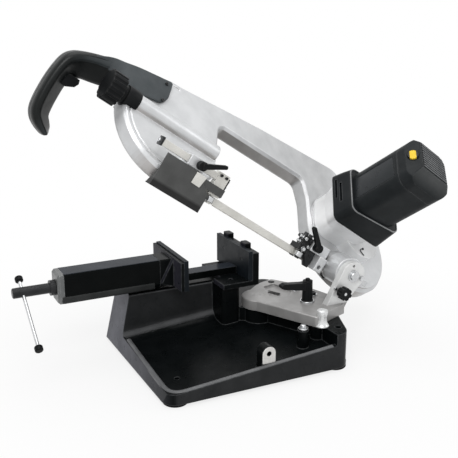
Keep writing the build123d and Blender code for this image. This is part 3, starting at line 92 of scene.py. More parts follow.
class Sheet:
    """Small helper that builds one node material."""

    def __init__(self, name):
        self.material = bpy.data.materials.new(name)
        self.material.use_nodes = True
        self.tree = self.material.node_tree
        self.shader = self.tree.nodes["Principled BSDF"]
        self.place = self.add("ShaderNodeTexCoord").outputs["Object"]

    def add(self, kind, **values):
        node = self.tree.nodes.new(kind)
        for key, value in values.items():
            setattr(node, key, value)
        return node

    def link(self, source, target):
        self.tree.links.new(source, target)

    def stretched(self, scale):
        mapping = self.add("ShaderNodeMapping")
        mapping.inputs["Scale"].default_value = scale
        self.link(self.place, mapping.inputs["Vector"])
        return mapping.outputs["Vector"]

    def noise(self, scale, detail=3.0, rough=0.55, vector=None):
        node = self.add("ShaderNodeTexNoise")
        node.inputs["Scale"].default_value = scale
        node.inputs["Detail"].default_value = detail
        node.inputs["Roughness"].default_value = rough
        self.link(vector or self.place, node.inputs["Vector"])
        return node.outputs["Fac"]

    def ramp(self, value, low, high, low_out=0.0, high_out=1.0, shape="LINEAR"):
        node = self.add("ShaderNodeMapRange", interpolation_type=shape)
        node.inputs["From Min"].default_value = low
        node.inputs["From Max"].default_value = high
        node.inputs["To Min"].default_value = low_out
        node.inputs["To Max"].default_value = high_out
        self.link(value, node.inputs["Value"])
        return node.outputs["Result"]

    def math(self, kind, one, two):
        node = self.add("ShaderNodeMath", operation=kind)
        for socket, value in zip(node.inputs, (one, two)):
            if isinstance(value, (int, float)):
                socket.default_value = value
            else:
                self.link(value, socket)
        return node.outputs["Value"]

    def mix(self, factor, one, two):
        node = self.add("ShaderNodeMix", data_type="RGBA")
        self.link(factor, node.inputs["Factor"])
        for socket, value in ((node.inputs[6], one), (node.inputs[7], two)):
            if isinstance(value, tuple):
                socket.default_value = (*value, 1.0)
            else:
                self.link(value, socket)
        return node.outputs[2]

    def edges(self, radius):
        """Soft edges: the rounded normal, and a mask that is 1 along sharp edges."""
        bevel = self.add("ShaderNodeBevel", samples=8)
        bevel.inputs["Radius"].default_value = radius
        flat = self.add("ShaderNodeNewGeometry").outputs["Normal"]
        agreement = self.vector("DOT_PRODUCT", bevel.outputs["Normal"], flat)
        return bevel.outputs["Normal"], self.ramp(agreement, 0.99, 0.80)

    def vector(self, kind, one, two):
        node = self.add("ShaderNodeVectorMath", operation=kind)
        self.link(one, node.inputs[0])
        if isinstance(two, (tuple, Vector)):
            node.inputs[1].default_value = two
        else:
            self.link(two, node.inputs[1])
        return node.outputs["Value" if kind == "DOT_PRODUCT" else "Vector"]

    def along(self, direction, spot, low, high):
        """Mask that rises from 0 to 1 between two distances from a point along a direction."""
        shifted = self.vector("SUBTRACT", self.place, spot)
        return self.ramp(self.vector("DOT_PRODUCT", shifted, direction), low, high)

    def facing(self, direction, low, high):
        """Mask that is 1 where the surface faces a direction."""
        normal = self.add("ShaderNodeNewGeometry").outputs["True Normal"]
        return self.ramp(self.vector("DOT_PRODUCT", normal, direction), low, high)

    def bump(self, height, strength, distance, normal):
        node = self.add("ShaderNodeBump")
        node.inputs["Strength"].default_value = strength
        node.inputs["Distance"].default_value = distance
        self.link(height, node.inputs["Height"])
        self.link(normal, node.inputs["Normal"])
        return node.outputs["Normal"]


cloud_scale = 28.0
smudge_scale = cloud_scale * 2.3


def finish(name, dark, light, rough, metallic=0.0, grain=900.0, grain_depth=0.00002, edge=0.0008,
           wear_and_highlight=None, wear_and_highlight_amount=0.5, specular=0.5, brushed=None,
           second=None, split=None, third=None, shade=None):
    """Surface with colour clouds, grain or brush lines, soft edges, and edges lightened by wear and
    a painted highlight.

    The second pair of colours shows where the split mask is 1, the third where the shade mask is.
    """
    sheet = Sheet(name)
    shader = sheet.shader
    shader.inputs["Metallic"].default_value = metallic
    shader.inputs["Specular IOR Level"].default_value = specular
    rounded, mask = sheet.edges(edge)
    clouds = sheet.ramp(sheet.noise(cloud_scale, 4.0), 0.32, 0.68)
    colour = sheet.mix(clouds, dark, light)
    if brushed:
        fine = sheet.noise(1.0, 2.0, 0.6, sheet.stretched(brushed))
        scratch = tuple(channel * 0.72 for channel in dark)
        colour = sheet.mix(sheet.ramp(fine, 0.35, 0.65, 0.0, 0.35), colour, scratch)
    else:
        fine = sheet.noise(grain, 2.0)
    if third:
        colour = sheet.mix(shade(sheet), colour, sheet.mix(clouds, *third))
    if second:
        colour = sheet.mix(split(sheet), colour, sheet.mix(clouds, *second))
    # Lighter edges, partly wear and partly a painted highlight along every edge
    if wear_and_highlight:
        patchy = sheet.ramp(sheet.noise(140.0, 3.0), 0.35, 0.65, 0.25, 1.0)
        wear_and_highlight_share = sheet.math("MULTIPLY", sheet.math("MULTIPLY", mask, patchy), wear_and_highlight_amount)
        colour = sheet.mix(wear_and_highlight_share, colour, wear_and_highlight)
    sheet.link(colour, shader.inputs["Base Color"])
    smudges = sheet.noise(smudge_scale, 5.0, 0.6)
    sheet.link(sheet.ramp(smudges, 0.3, 0.7, rough * 0.82, rough * 1.2), shader.inputs["Roughness"])
    sheet.link(sheet.bump(fine, 0.5, grain_depth, rounded), shader.inputs["Normal"])
    return sheet.material


def beam_painted_reflection(sheet):
    """Painted dark reflection: darker silver towards the drive end of the bow."""
    rise = sheet.along(bow_u, bow_point(-330, 0, 0), 0.0, 0.30)
    fall = sheet.along(bow_u, bow_point(25, 0, 0), 0.0, -0.04)
    behind = sheet.along((0, 1, 0), (0, -0.0240, 0), 0.0, 0.004)
    return sheet.math("MULTIPLY", sheet.math("MULTIPLY", rise, fall), behind)


def underside_painted_shade(sheet):
    """Painted shade: warm grey on the faces that look down from the bow."""
    return sheet.facing(bow_v * -1, 0.80, 0.95)


def front_tone(sheet):
    """Grey on the faces of the gear housing that look along the axles."""
    return sheet.facing(bow_n, 0.75, 0.95)


def guard_fold(sheet):
    """Shade on the folded lower edge of the guard."""
    return sheet.along(bow_w * -1, side_point(0, -17, 0), 0.0, 0.005)


def block_end(sheet):
    """Pale half of the right guide, from where its black block ends."""
    return sheet.along(bow_u, bow_point(-76.9, 0, 0), 0.0, 0.0002)


def grip_side(sheet):
    """Grey on the side of the handle's arm, fading towards the grip."""
    arm = sheet.along(bow_u, bow_point(-590, 0, 0), 0.0, 0.06)
    return sheet.math("MULTIPLY", arm, sheet.facing((0, -1, 0), 0.85, 0.98))


def dial_stripe(sheet):
    """Bright stripe across the middle of the speed dial."""
    across = (bow_n * 23.0 + bow_u * 17.4).normalized()
    middle = bow_point(-46.7, 107.4, 244.5)
    left = sheet.along(across, middle, -0.0062, -0.0056)
    return sheet.math("MULTIPLY", left, sheet.along(across, middle, 0.0056, 0.0050))


def end_facing(sheet):
    """Sheen on the faces that look towards the vise end."""
    return sheet.facing((-0.97, -0.2, 0.1), 0.70, 0.95)


def end_wall(sheet):
    """Sheen on the end wall of the base, fading towards the front."""
    beyond = sheet.along((-1, 0, 0), (-0.14, 0, 0), 0.0, 0.002)
    wall = sheet.math("MULTIPLY", end_facing(sheet), beyond)
    return sheet.math("MULTIPLY", wall, sheet.along((0, 1, 0), (0, -0.17, 0), 0.0, 0.27))


def top_facing(sheet):
    """Sheen on the faces that look up."""
    return sheet.facing((0, 0, 1), 0.75, 0.97)


def arm_top_tone(sheet):
    """Pale metal above the flat top of the swivel arm."""
    return sheet.along((0, 0, 1), (0, 0, 0.0885), 0.0, 0.001)


def cove_light(sheet):
    """Light caught by the foot of the tray's back wall, and a little by walls facing the front."""
    ends = sheet.math("MAXIMUM", sheet.along((0, 1, 0), (0, 0.070, 0), 0.0, 0.002),
                      sheet.along((0, -1, 0), (0, -0.145, 0), 0.0, 0.002))
    walls = sheet.math("MULTIPLY", sheet.facing((0, -1, 0.05), 0.90, 0.98),
                       sheet.math("MULTIPLY", ends, 0.22))
    return sheet.math("MAXIMUM", sheet.facing((0, -0.86, 0.5), 0.95, 0.995), walls)


def low_facet(sheet):
    """Light on the upper part of the motor cap's lower bevel."""
    return sheet.math("MULTIPLY", sheet.facing((0.07, -0.99, 0.09), 0.96, 0.995),
                      sheet.along(bow_n, bow_point(0, 0, 236), 0.0, 0.015))


gloss_black = finish(
    "gloss_black", (0.0022, 0.0030, 0.0032), (0.0045, 0.0055, 0.0060), 0.30, grain=1500.0,
    grain_depth=0.000008, edge=0.0030, wear_and_highlight=(0.26, 0.27, 0.28), wear_and_highlight_amount=0.34, specular=0.06,
    second=((0.020, 0.020, 0.027), (0.034, 0.034, 0.044)), split=end_facing,
)
base_black = finish(
    "base_black", (0.0022, 0.0030, 0.0032), (0.0045, 0.0055, 0.0060), 0.30, grain=1500.0,
    grain_depth=0.000008, edge=0.0030, wear_and_highlight=(0.26, 0.27, 0.28), wear_and_highlight_amount=0.34, specular=0.07,
    second=((0.100, 0.103, 0.122), (0.150, 0.153, 0.176)), split=end_wall,
    third=((0.075, 0.077, 0.080), (0.110, 0.112, 0.116)), shade=cove_light,
)
# Painted highlight: lighter grey for the rim bead of the black base
rim_painted_highlight = finish(
    "rim_painted_highlight", (0.10, 0.102, 0.106), (0.15, 0.153, 0.158), 0.34, grain=1500.0,
    grain_depth=0.000008, edge=0.0006, specular=0.2,
)
rail_grey = finish(
    "rail_grey", (0.018, 0.0195, 0.0195), (0.030, 0.032, 0.032), 0.36, grain=1300.0, edge=0.0006,
    wear_and_highlight=(0.16, 0.165, 0.165), wear_and_highlight_amount=0.6, specular=0.15,
)
tube_black = finish(
    "tube_black", (0.0015, 0.0022, 0.0022), (0.0032, 0.0040, 0.0040), 0.20, grain=900.0,
    grain_depth=0.000008, edge=0.0016, wear_and_highlight=(0.34, 0.34, 0.36), wear_and_highlight_amount=0.30, specular=0.05,
    second=((0.022, 0.027, 0.036), (0.036, 0.042, 0.052)), split=top_facing,
)
cap_grey = finish(
    "cap_grey", (0.10, 0.105, 0.105), (0.17, 0.175, 0.175), 0.34, metallic=0.4, edge=0.0016,
    wear_and_highlight=(0.75, 0.77, 0.77), wear_and_highlight_amount=0.7,
)
slate = finish(
    "slate", (0.0065, 0.0090, 0.0120), (0.0120, 0.0155, 0.0195), 0.40, grain=900.0, edge=0.0010,
    wear_and_highlight=(0.16, 0.18, 0.20), wear_and_highlight_amount=0.5, specular=0.10,
)
feet_rubber = finish("feet_rubber", (0.006, 0.006, 0.006), (0.012, 0.012, 0.012), 0.7, grain=1500.0,
                     grain_depth=0.00004, specular=0.15)
bright_steel = finish(
    "bright_steel", (0.52, 0.53, 0.54), (0.68, 0.69, 0.70), 0.24, metallic=0.95, edge=0.0005,
    brushed=(120.0, 120.0, 1500.0),
)
dark_steel = finish(
    "dark_steel", (0.012, 0.013, 0.014), (0.030, 0.031, 0.033), 0.34, metallic=0.35, edge=0.0006,
    wear_and_highlight=(0.32, 0.32, 0.33), wear_and_highlight_amount=0.4, specular=0.25,
)
bar_white = finish(
    "bar_white", (0.62, 0.61, 0.57), (0.78, 0.77, 0.73), 0.34, metallic=0.40, edge=0.0007,
    brushed=(900.0, 160.0, 900.0), wear_and_highlight=(0.92, 0.91, 0.88), wear_and_highlight_amount=0.5,
)
band_grey = finish(
    "band_grey", (0.62, 0.61, 0.57), (0.78, 0.77, 0.73), 0.36, metallic=0.45, edge=0.0003,
    brushed=(60.0, 1400.0, 1400.0),
)
knob_black = finish(
    "knob_black", (0.0035, 0.0042, 0.0048), (0.0085, 0.0092, 0.0098), 0.38, grain=1600.0,
    grain_depth=0.00002, edge=0.0016, wear_and_highlight=(0.12, 0.115, 0.11), wear_and_highlight_amount=0.45, specular=0.10,
)
arm_grey = finish(
    "arm_grey", (0.30, 0.295, 0.29), (0.40, 0.395, 0.39), 0.40, metallic=0.30, grain=1100.0,
    grain_depth=0.00002, edge=0.0014, wear_and_highlight=(0.80, 0.80, 0.80), wear_and_highlight_amount=0.6,
    second=((0.66, 0.665, 0.66), (0.78, 0.785, 0.78)), split=arm_top_tone,
)
silver_cast = finish(
    "silver_cast", (0.57, 0.58, 0.59), (0.66, 0.67, 0.68), 0.34, metallic=0.45, grain=1000.0,
    grain_depth=0.000012, edge=0.0030, wear_and_highlight=(0.92, 0.92, 0.93), wear_and_highlight_amount=0.55,
    # second colours: painted shade, warm grey on the faces that look down from the bow
    second=((0.40, 0.385, 0.375), (0.50, 0.485, 0.475)), split=underside_painted_shade,
    # third colours: painted dark reflection, darker silver towards the drive end of the bow
    third=((0.40, 0.405, 0.41), (0.50, 0.505, 0.51)), shade=beam_painted_reflection,
)
housing_silver = finish(
    "housing_silver", (0.84, 0.845, 0.85), (0.93, 0.935, 0.94), 0.34, metallic=0.35, grain=1000.0,
    grain_depth=0.00002, edge=0.0025, wear_and_highlight=(0.95, 0.95, 0.95), wear_and_highlight_amount=0.4,
    second=((0.60, 0.605, 0.61), (0.70, 0.705, 0.71)), split=front_tone,
)
cover_silver = finish(
    "cover_silver", (0.50, 0.495, 0.49), (0.62, 0.615, 0.61), 0.40, metallic=0.5, grain=900.0,
    edge=0.001, wear_and_highlight=(0.85, 0.84, 0.83), wear_and_highlight_amount=0.5,
)
guide_mixed = finish(
    "guide_mixed", (0.008, 0.009, 0.010), (0.022, 0.023, 0.024), 0.38, metallic=0.2, edge=0.0007,
    wear_and_highlight=(0.55, 0.54, 0.52), wear_and_highlight_amount=0.5, specular=0.25,
    second=((0.60, 0.59, 0.55), (0.76, 0.75, 0.71)), split=block_end,
)
foot_silver = finish(
    "foot_silver", (0.74, 0.75, 0.75), (0.86, 0.87, 0.87), 0.28, metallic=0.35, edge=0.0006,
    brushed=(90.0, 90.0, 700.0),
)
lug_white = finish(
    "lug_white", (0.62, 0.61, 0.59), (0.78, 0.77, 0.75), 0.38, metallic=0.25, edge=0.0005,
    brushed=(600.0, 80.0, 80.0),
)
dark_band = finish(
    "dark_band", (0.16, 0.14, 0.12), (0.28, 0.26, 0.23), 0.34, metallic=0.7, edge=0.0002,
)
# Painted highlight: light grey for the thin bead along the top of the motor's shroud
bead_painted_highlight = finish("bead_painted_highlight", (0.16, 0.165, 0.17), (0.26, 0.265, 0.27), 0.40, edge=0.0004)
plate_satin = finish(
    "plate_satin", (0.016, 0.019, 0.021), (0.024, 0.027, 0.030), 0.30, grain=1800.0, edge=0.0004,
    wear_and_highlight=(0.20, 0.20, 0.21), wear_and_highlight_amount=0.4, specular=0.2,
)
guard_grey = finish(
    "guard_grey", (0.058, 0.059, 0.058), (0.086, 0.087, 0.086), 0.42, grain=1300.0,
    grain_depth=0.00003, edge=0.0008, wear_and_highlight=(0.35, 0.35, 0.36), wear_and_highlight_amount=0.5, specular=0.25,
    third=((0.008, 0.008, 0.008), (0.015, 0.015, 0.015)), shade=guard_fold,
)
motor_charcoal = finish(
    "motor_charcoal", (0.0085, 0.0105, 0.0115), (0.0150, 0.0175, 0.0190), 0.44, grain=1600.0,
    grain_depth=0.00003, edge=0.0050, wear_and_highlight=(0.13, 0.135, 0.14), wear_and_highlight_amount=0.35, specular=0.12,
)
cap_charcoal = finish(
    "cap_charcoal", (0.0095, 0.0115, 0.0125), (0.0160, 0.0185, 0.0200), 0.44, grain=1600.0,
    grain_depth=0.00003, edge=0.0050, wear_and_highlight=(0.13, 0.135, 0.14), wear_and_highlight_amount=0.35, specular=0.12,
    third=((0.046, 0.049, 0.050), (0.064, 0.067, 0.068)), shade=low_facet,
)
louvre_grey = finish(
    "louvre_grey", (0.12, 0.125, 0.13), (0.17, 0.175, 0.18), 0.42, grain=1600.0, edge=0.0003,
    specular=0.2,
)
skirt_black = finish(
    "skirt_black", (0.0060, 0.0075, 0.0085), (0.0115, 0.0135, 0.0150), 0.40, grain=1600.0,
    grain_depth=0.00003, edge=0.0040, wear_and_highlight=(0.13, 0.135, 0.14), wear_and_highlight_amount=0.35, specular=0.12,
)
dial_yellow = finish(
    "dial_yellow", (0.006, 0.006, 0.007), (0.012, 0.012, 0.013), 0.36, edge=0.0006, specular=0.2,
    second=((0.80, 0.52, 0.02), (0.92, 0.66, 0.05)), split=dial_stripe,
)
handle_black = finish(
    "handle_black", (0.0030, 0.0042, 0.0042), (0.0065, 0.0080, 0.0080), 0.34, grain=1600.0,
    grain_depth=0.00002, edge=0.0016, wear_and_highlight=(0.09, 0.093, 0.093), wear_and_highlight_amount=0.45, specular=0.20,
    second=((0.046, 0.053, 0.057), (0.062, 0.070, 0.074)), split=grip_side,
)
plate_grey = finish(
    "plate_grey", (0.046, 0.053, 0.057), (0.062, 0.070, 0.074), 0.5, grain=1500.0,
    grain_depth=0.00003, edge=0.0009, wear_and_highlight=(0.20, 0.20, 0.21), wear_and_highlight_amount=0.3, specular=0.15,
)
bronze = finish("bronze", (0.42, 0.27, 0.10), (0.56, 0.38, 0.16), 0.36, metallic=0.9, edge=0.0006)
core_steel = finish(
    "core_steel", (0.16, 0.15, 0.15), (0.24, 0.23, 0.22), 0.5, metallic=0.7, edge=0.0005,
    brushed=(300.0, 300.0, 300.0),
)

looks = {
    "base_casting": base_black, "fixed_jaw": gloss_black, "moving_jaw": gloss_black,
    "vise_tube": tube_black, "tube_end_cap": cap_grey, "fixed_jaw_plate": slate,
    "moving_jaw_plate": slate, "rubber_feet": feet_rubber, "stop_screws": bright_steel,
    "fixed_jaw_screws": dark_steel, "moving_jaw_screws": dark_steel, "vise_guide_bar": tube_black,
    "vise_nut": bronze, "vise_screw": dark_steel, "tommy_bar": bright_steel,
    "tommy_knobs": knob_black, "swivel_arm": arm_grey, "swivel_pin": bright_steel,
    "hinge_pin": bright_steel, "hinge_bolt": bright_steel, "ear_knob": knob_black,
    "mitre_lever": knob_black, "return_spring": dark_steel, "bow_frame": silver_cast,
    "gear_housing": housing_silver, "wheel_cover": cover_silver, "saw_band": band_grey,
    "idler_wheel": housing_silver, "drive_wheel": housing_silver, "idler_bearings": bright_steel,
    "shaft_bearings": bright_steel, "motor_bearings": bright_steel, "tension_block": dark_steel,
    "idler_axle": bright_steel, "tension_knob": knob_black, "drive_shaft": bright_steel,
    "drive_gear": dark_steel, "motor_pinion": dark_steel, "armature": core_steel,
    "stator": core_steel, "cooling_fan": skirt_black, "motor_skirt": skirt_black,
    "motor_case": motor_charcoal, "motor_end_cap": cap_charcoal, "speed_dial": dial_yellow,
    "band_guard": guard_grey, "left_guide_block": bar_white, "right_guide_block": guide_mixed,
    "left_front_roller": bright_steel, "left_rear_roller": bright_steel,
    "right_front_roller": bright_steel, "right_rear_roller": bright_steel,
    "left_clamp_lever": knob_black, "right_clamp_lever": knob_black, "handle_front": handle_black,
    "handle_rear": handle_black, "handle_plate": plate_grey, "trigger": knob_black,
    "casing_screws": dark_steel,
}
for name, node in nodes.items():
    node.data.materials.clear()
    node.data.materials.append(looks[name])

# Pieces built in mesh code. Edges sharper than these angles, in degrees, stay sharp
sharp_angle = 32.0
moulded_angle = 40.0
bead_angle = 50.0
wire_angle = 60.0
axis_hint = (0.31, 0.17, 0.93)
turned_steps = 36


def settle(name, mesh, material, body, angle=sharp_angle):
    """Make an object of a mesh that rides on a body, smooth except at sharp edges."""
    mesh.validate()
    mesh.polygons.foreach_set("use_smooth", [True] * len(mesh.polygons))
    mesh.set_sharp_from_angle(angle=radians(angle))
    mesh.materials.append(material)
    piece = bpy.data.objects.new(name, mesh)
    scene.collection.objects.link(piece)
    if body:
        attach(piece, body)
    return piece


def shell(name, verts, faces, material, body, angle=sharp_angle):
    """Piece of points and faces."""
    mesh = bpy.data.meshes.new(name)
    mesh.from_pydata(verts, [], faces)
    return settle(name, mesh, material, body, angle)


def grid_faces(rows, sides, loop=False, skip=()):
    """Quads between neighbouring rows of points; a loop also joins the last row to the first."""
    faces = []
    for row in range(rows if loop else rows - 1):
        here, there = row * sides, (row + 1) % rows * sides
        for side in range(sides):
            after = (side + 1) % sides
            if (row, side) not in skip:
                faces.append((here + side, here + after, there + after, there + side))
    return faces


def end_faces(rows, sides):
    """Faces that close the first and the last row."""
    return [tuple(reversed(range(sides))), tuple(range((rows - 1) * sides, rows * sides))]


def square_axes(axis, hint=axis_hint):
    """Unit axis and two directions square to it."""
    axis = Vector(axis).normalized()
    first = Vector(hint)
    first = (first - axis * first.dot(axis)).normalized()
    return axis, first, axis.cross(first)


def turned(name, spot, axis, rings, material, body):
    """Turned piece: rings of radius, height in millimetres and number of flats, along an axis."""
    axis, first, second = square_axes(axis)
    verts = []
    for radius, height, flats in rings:
        for step in range(turned_steps):
            angle = 2 * pi * step / turned_steps
            reach = radius
            if flats:
                part = pi / flats
                reach = radius * cos(part) / cos((angle % (2 * part)) - part)
            out = first * (reach * cos(angle)) + second * (reach * sin(angle))
            verts.append(spot + (out + axis * height) * mm)
    faces = grid_faces(len(rings), turned_steps) + end_faces(len(rings), turned_steps)
    return shell(name, verts, faces, material, body)


def hoop(name, spot, axis, section, material, body, count=40):
    """Closed ring whose section is a list of radius and height, in millimetres."""
    axis, first, second = square_axes(axis)
    verts = []
    for step in range(count):
        angle = 2 * pi * step / count
        out = first * cos(angle) + second * sin(angle)
        verts += [spot + (out * radius + axis * height) * mm for radius, height in section]
    return shell(name, verts, grid_faces(count, len(section), loop=True), material, body)


def slab(name, outline, push, material, body, soften=0.0006):
    """Plate of an outline of points, pushed along a vector, with softened edges."""
    mesh = bpy.data.meshes.new(name)
    form = bmesh.new()
    low = [form.verts.new(point) for point in outline]
    high = [form.verts.new(point + push) for point in outline]
    form.faces.new(low)
    form.faces.new(list(reversed(high)))
    for step in range(len(low)):
        after = (step + 1) % len(low)
        form.faces.new((low[after], low[step], high[step], high[after]))
    bmesh.ops.recalc_face_normals(form, faces=form.faces)
    bmesh.ops.bevel(
        form, geom=list(form.edges), offset=soften, segments=2, profile=0.6, affect="EDGES",
    )
    form.to_mesh(mesh)
    form.free()
    return settle(name, mesh, material, body)


def wire(name, points, radius, material, body, count=12):
    """Round wire along a smooth line of points."""
    curve = bpy.data.curves.new(name, "CURVE")
    curve.dimensions = "3D"
    curve.bevel_depth = radius
    curve.bevel_resolution = 3
    curve.resolution_u = count
    curve.use_fill_caps = True
    line = curve.splines.new("NURBS")
    line.points.add(len(points) - 1)
    for point, place in zip(line.points, points):
        point.co = (*place, 1.0)
    line.order_u = 4
    line.use_endpoint_u = True
    holder = bpy.data.objects.new(name + "_line", curve)
    scene.collection.objects.link(holder)
    bpy.context.view_layer.update()
    graph = bpy.context.evaluated_depsgraph_get()
    mesh = bpy.data.meshes.new_from_object(holder.evaluated_get(graph))
    mesh.name = name
    bpy.data.objects.remove(holder)
    return settle(name, mesh, material, body, wire_angle)


def hex_bolt(name, spot, axis, radius, height, material, body):
    """Hexagon head with a washer face below and a chamfered top."""
    rings = [(radius * 1.12, 0.0, 0), (radius * 1.12, height * 0.14, 0), (radius, height * 0.16, 6),
             (radius, height * 0.82, 6), (radius * 0.84, height, 0), (radius * 0.3, height, 0)]
    return turned(name, spot, axis, rings, material, body)


def cap_screw(name, spot, axis, radius, height, material, body):
    """Socket cap screw: round head with a hexagon socket."""
    rings = [
        (radius, 0.0, 0), (radius, height * 0.82, 0), (radius * 0.88, height, 0),
        (radius * 0.56, height, 6), (radius * 0.52, height * 0.42, 6),
        (radius * 0.1, height * 0.36, 0),
    ]
    return turned(name, spot, axis, rings, material, body)


# Return spring with its hooked ends, from the arm's post to the bow's lug
spring_y = -0.046
spring_low = Vector((0.203, spring_y, 0.094))
spring_high = Vector((hinge_x, spring_y, hinge_z)) + bow_u * 0.048
spring_axis, spring_out, spring_turn = square_axes(spring_high - spring_low, (0, 1, 0))
spring_length = (spring_high - spring_low).length
coil_turns = 9
coil_steps = 16
coil_radius = 0.0060
coil_start = 0.27 * spring_length
coil_rise = 0.46 * spring_length
neck = spring_axis * (coil_start * 0.75)
hook_steps = 12
hook_radius = 0.0040
spring_wire = 0.0010


def spring_hook(centre, way, first, sweep):
    """Points of a hook round a pin, from a first angle and over a sweep, both in half turns."""
    points = []
    for step in range(hook_steps + 1):
        angle = pi * (first + sweep * step / hook_steps)
        points.append(centre + (way * cos(angle) + spring_out * sin(angle)) * hook_radius)
    return points


spring_points = spring_hook(spring_low, spring_axis, 0.9, -1.5) + [spring_low + neck]
for step in range(coil_turns * coil_steps + 1):
    angle = 2 * pi * step / coil_steps
    along = coil_start + coil_rise * step / (coil_turns * coil_steps)
    spring_points.append(spring_low + spring_axis * along
                         + (spring_out * cos(angle) + spring_turn * sin(angle)) * coil_radius)
spring_points += [spring_high - neck] + spring_hook(spring_high, spring_axis * -1, 0.6, 1.5)
spring = wire("coil_spring", spring_points, spring_wire, dark_steel, None, 3)
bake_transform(spring)
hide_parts("return_spring")

# Swivel arm: cap screws and washers
arm_top = 0.0883
arm_washer = [(5.4, 0.0), (8.0, 0.0), (8.0, 0.9), (7.6, 1.2), (5.4, 1.2)]
for label, x, y in (("left", 0.1574, 0.0224), ("right", 0.1747, -0.0126)):
    spot = Vector((x, y, arm_top))
    cap_screw(f"arm_screw_{label}", spot, upward, 5.2, 5.5, dark_steel, "swivel_arm")
    hoop(
        f"arm_washer_{label}", spot, upward, arm_washer, bright_steel, "swivel_arm",
    )
hoop(
    "lever_washer", Vector((0.147, -0.037, arm_top)), upward,
    [(11.3, 0.0), (13.4, 0.0), (13.4, 2.2), (12.9, 2.8), (11.3, 2.8)], bright_steel, "swivel_arm",
)

# Stop screw: washer and domed end
stop_spot = Vector((0.095, -0.110, 0.0730))
hoop(
    "stop_washer", stop_spot, upward, [(5.2, 0.0), (9.0, 0.0), (9.0, 0.9), (8.6, 1.2), (5.2, 1.2)],
    bright_steel, "base",
)
turned(
    "stop_end", stop_spot + upward * 0.004, upward,
    [(5.0, 0.0, 0), (5.0, 1.4, 0), (4.2, 2.4, 0), (2.6, 3.1, 0), (0.4, 3.4, 0)], bright_steel,
    "base",
)

# Machined face of the work stop lug: half round above its hole, square below
lug_spot = Vector((0.008, -0.147, 0.058))
lug_steps = 48
lug_half = 12.2
lug_drop = 17.0
lug_bore = 4.4
lug_raise = 0.5
lug_bevel = 0.5
lug_section = 4
smallest = 0.001
lug_verts = []
for step in range(lug_steps):
    angle = 2 * pi * step / lug_steps
    across, rise = cos(angle), sin(angle)
    reach = lug_half
    if rise < 0:
        reach = min(lug_half / max(abs(across), smallest), lug_drop / max(abs(rise), smallest))
    for radius, depth in ((lug_bore, 0.0), (lug_bore + lug_bevel, lug_raise),
                          (reach - lug_bevel, lug_raise), (reach, 0.0)):
        lug_verts.append(lug_spot + Vector((across * radius, -depth, rise * radius)) * mm)
lug_back = {(step, lug_section - 1) for step in range(lug_steps)}
lug_faces = grid_faces(lug_steps, lug_section, loop=True, skip=lug_back)
shell("lug_face", lug_verts, lug_faces, lug_white, "base")

# Band teeth between the two guides
band_y = -6.942
band_edge = -6.942
half_tooth = 0.36
tooth_step = 2.6
tooth_count = 74
first_tooth = -289.0
tooth_root = band_edge + 0.4
tooth_tip = band_edge - 1.3
tip_share = 0.86
tooth_verts = []
tooth_faces = []
for step in range(tooth_count):
    u = first_tooth + step * tooth_step
    base = len(tooth_verts)
    for along, w in ((u, tooth_root), (u + tooth_step, tooth_root),
                     (u + tooth_step * tip_share, tooth_tip)):
        for y in (band_y - half_tooth, band_y + half_tooth):
            tooth_verts.append(side_point(along, w, y))
    for corners in ((0, 2, 4), (1, 5, 3), (0, 4, 5, 1), (2, 3, 5, 4), (0, 1, 3, 2)):
        tooth_faces.append(tuple(base + corner for corner in corners))
shell("band_teeth", tooth_verts, tooth_faces, dark_band, "bow")

# Right guide: adjusting bolts and face screws
for label, u in (("a", -94.0), ("b", -82.5)):
    hex_bolt(
        f"guide_top_bolt_{label}", side_point(u, 36.0, -14.0), bow_w, 4.2, 5.5, dark_steel, "bow",
    )
for label, w, y, steel in (("a", 30.5, -17.0, bright_steel), ("b", 30.5, -10.5, dark_steel),
                           ("c", 21.0, -14.0, bright_steel)):
    hex_bolt(f"guide_end_bolt_{label}", side_point(-99.0, w, y), bow_u * -1, 3.1, 6.0, steel, "bow")
for label, u, w in (("a", -94.5, 30.0), ("b", -82.0, 30.0), ("c", -94.5, 19.0), ("d", -82.0, 19.0)):
    cap_screw(f"guide_face_screw_{label}", side_point(u, w, -21.0), forward, 3.3, 3.4,
              bright_steel if label in "ad" else dark_steel, "bow")
hex_bolt("guide_foot_bolt", side_point(-88.0, 11.6, -20.6), forward, 4.0, 3.2, bright_steel, "bow")

# Left guide: end stop of the bar, wear plate and screws
bar_end = -434.0
stop_corners = ((31.0, -22.0), (31.0, -6.5), (46.5, -6.5), (46.5, -22.0))
stop_outline = [side_point(bar_end, w, y) for w, y in stop_corners]
slab("bar_end_stop", stop_outline, bow_u * 0.004, dark_steel, "left_guide", 0.0008)
cap_screw("bar_end_screw", side_point(bar_end, 38.5, -14.0), bow_u * -1, 3.6, 3.0, bright_steel,
          "left_guide")
shoe_corners = ((9.0, -20.6), (9.0, -8.0), (45.0, -8.0), (45.0, -20.6))
shoe_u = -292.0
shoe_outline = [side_point(shoe_u, w, y) for w, y in shoe_corners]
slab("guide_shoe", shoe_outline, bow_u * 0.003, dark_steel, "left_guide", 0.0007)
for label, w in (("a", 40.0), ("b", 29.0), ("c", 17.0)):
    cap_screw(
        f"shoe_screw_{label}", side_point(-289.0, w, -14.3), bow_u, 2.9, 2.6, bright_steel,
        "left_guide",
    )
pad_corners = ((-356.4, 26.9), (-335.8, 26.4), (-339.3, 5.7), (-356.9, 6.3))
pad_y = -31.0
pad_outline = [side_point(u, w, pad_y) for u, w in pad_corners]
slab("guide_pad", pad_outline, forward * 0.002, bar_white, "left_guide")
for label, u in (("a", -308.5), ("b", -297.5)):
    cap_screw(
        f"left_face_screw_{label}", side_point(u, 43.5, -21.0), forward, 2.7, 2.6, dark_steel,
        "left_guide",
    )

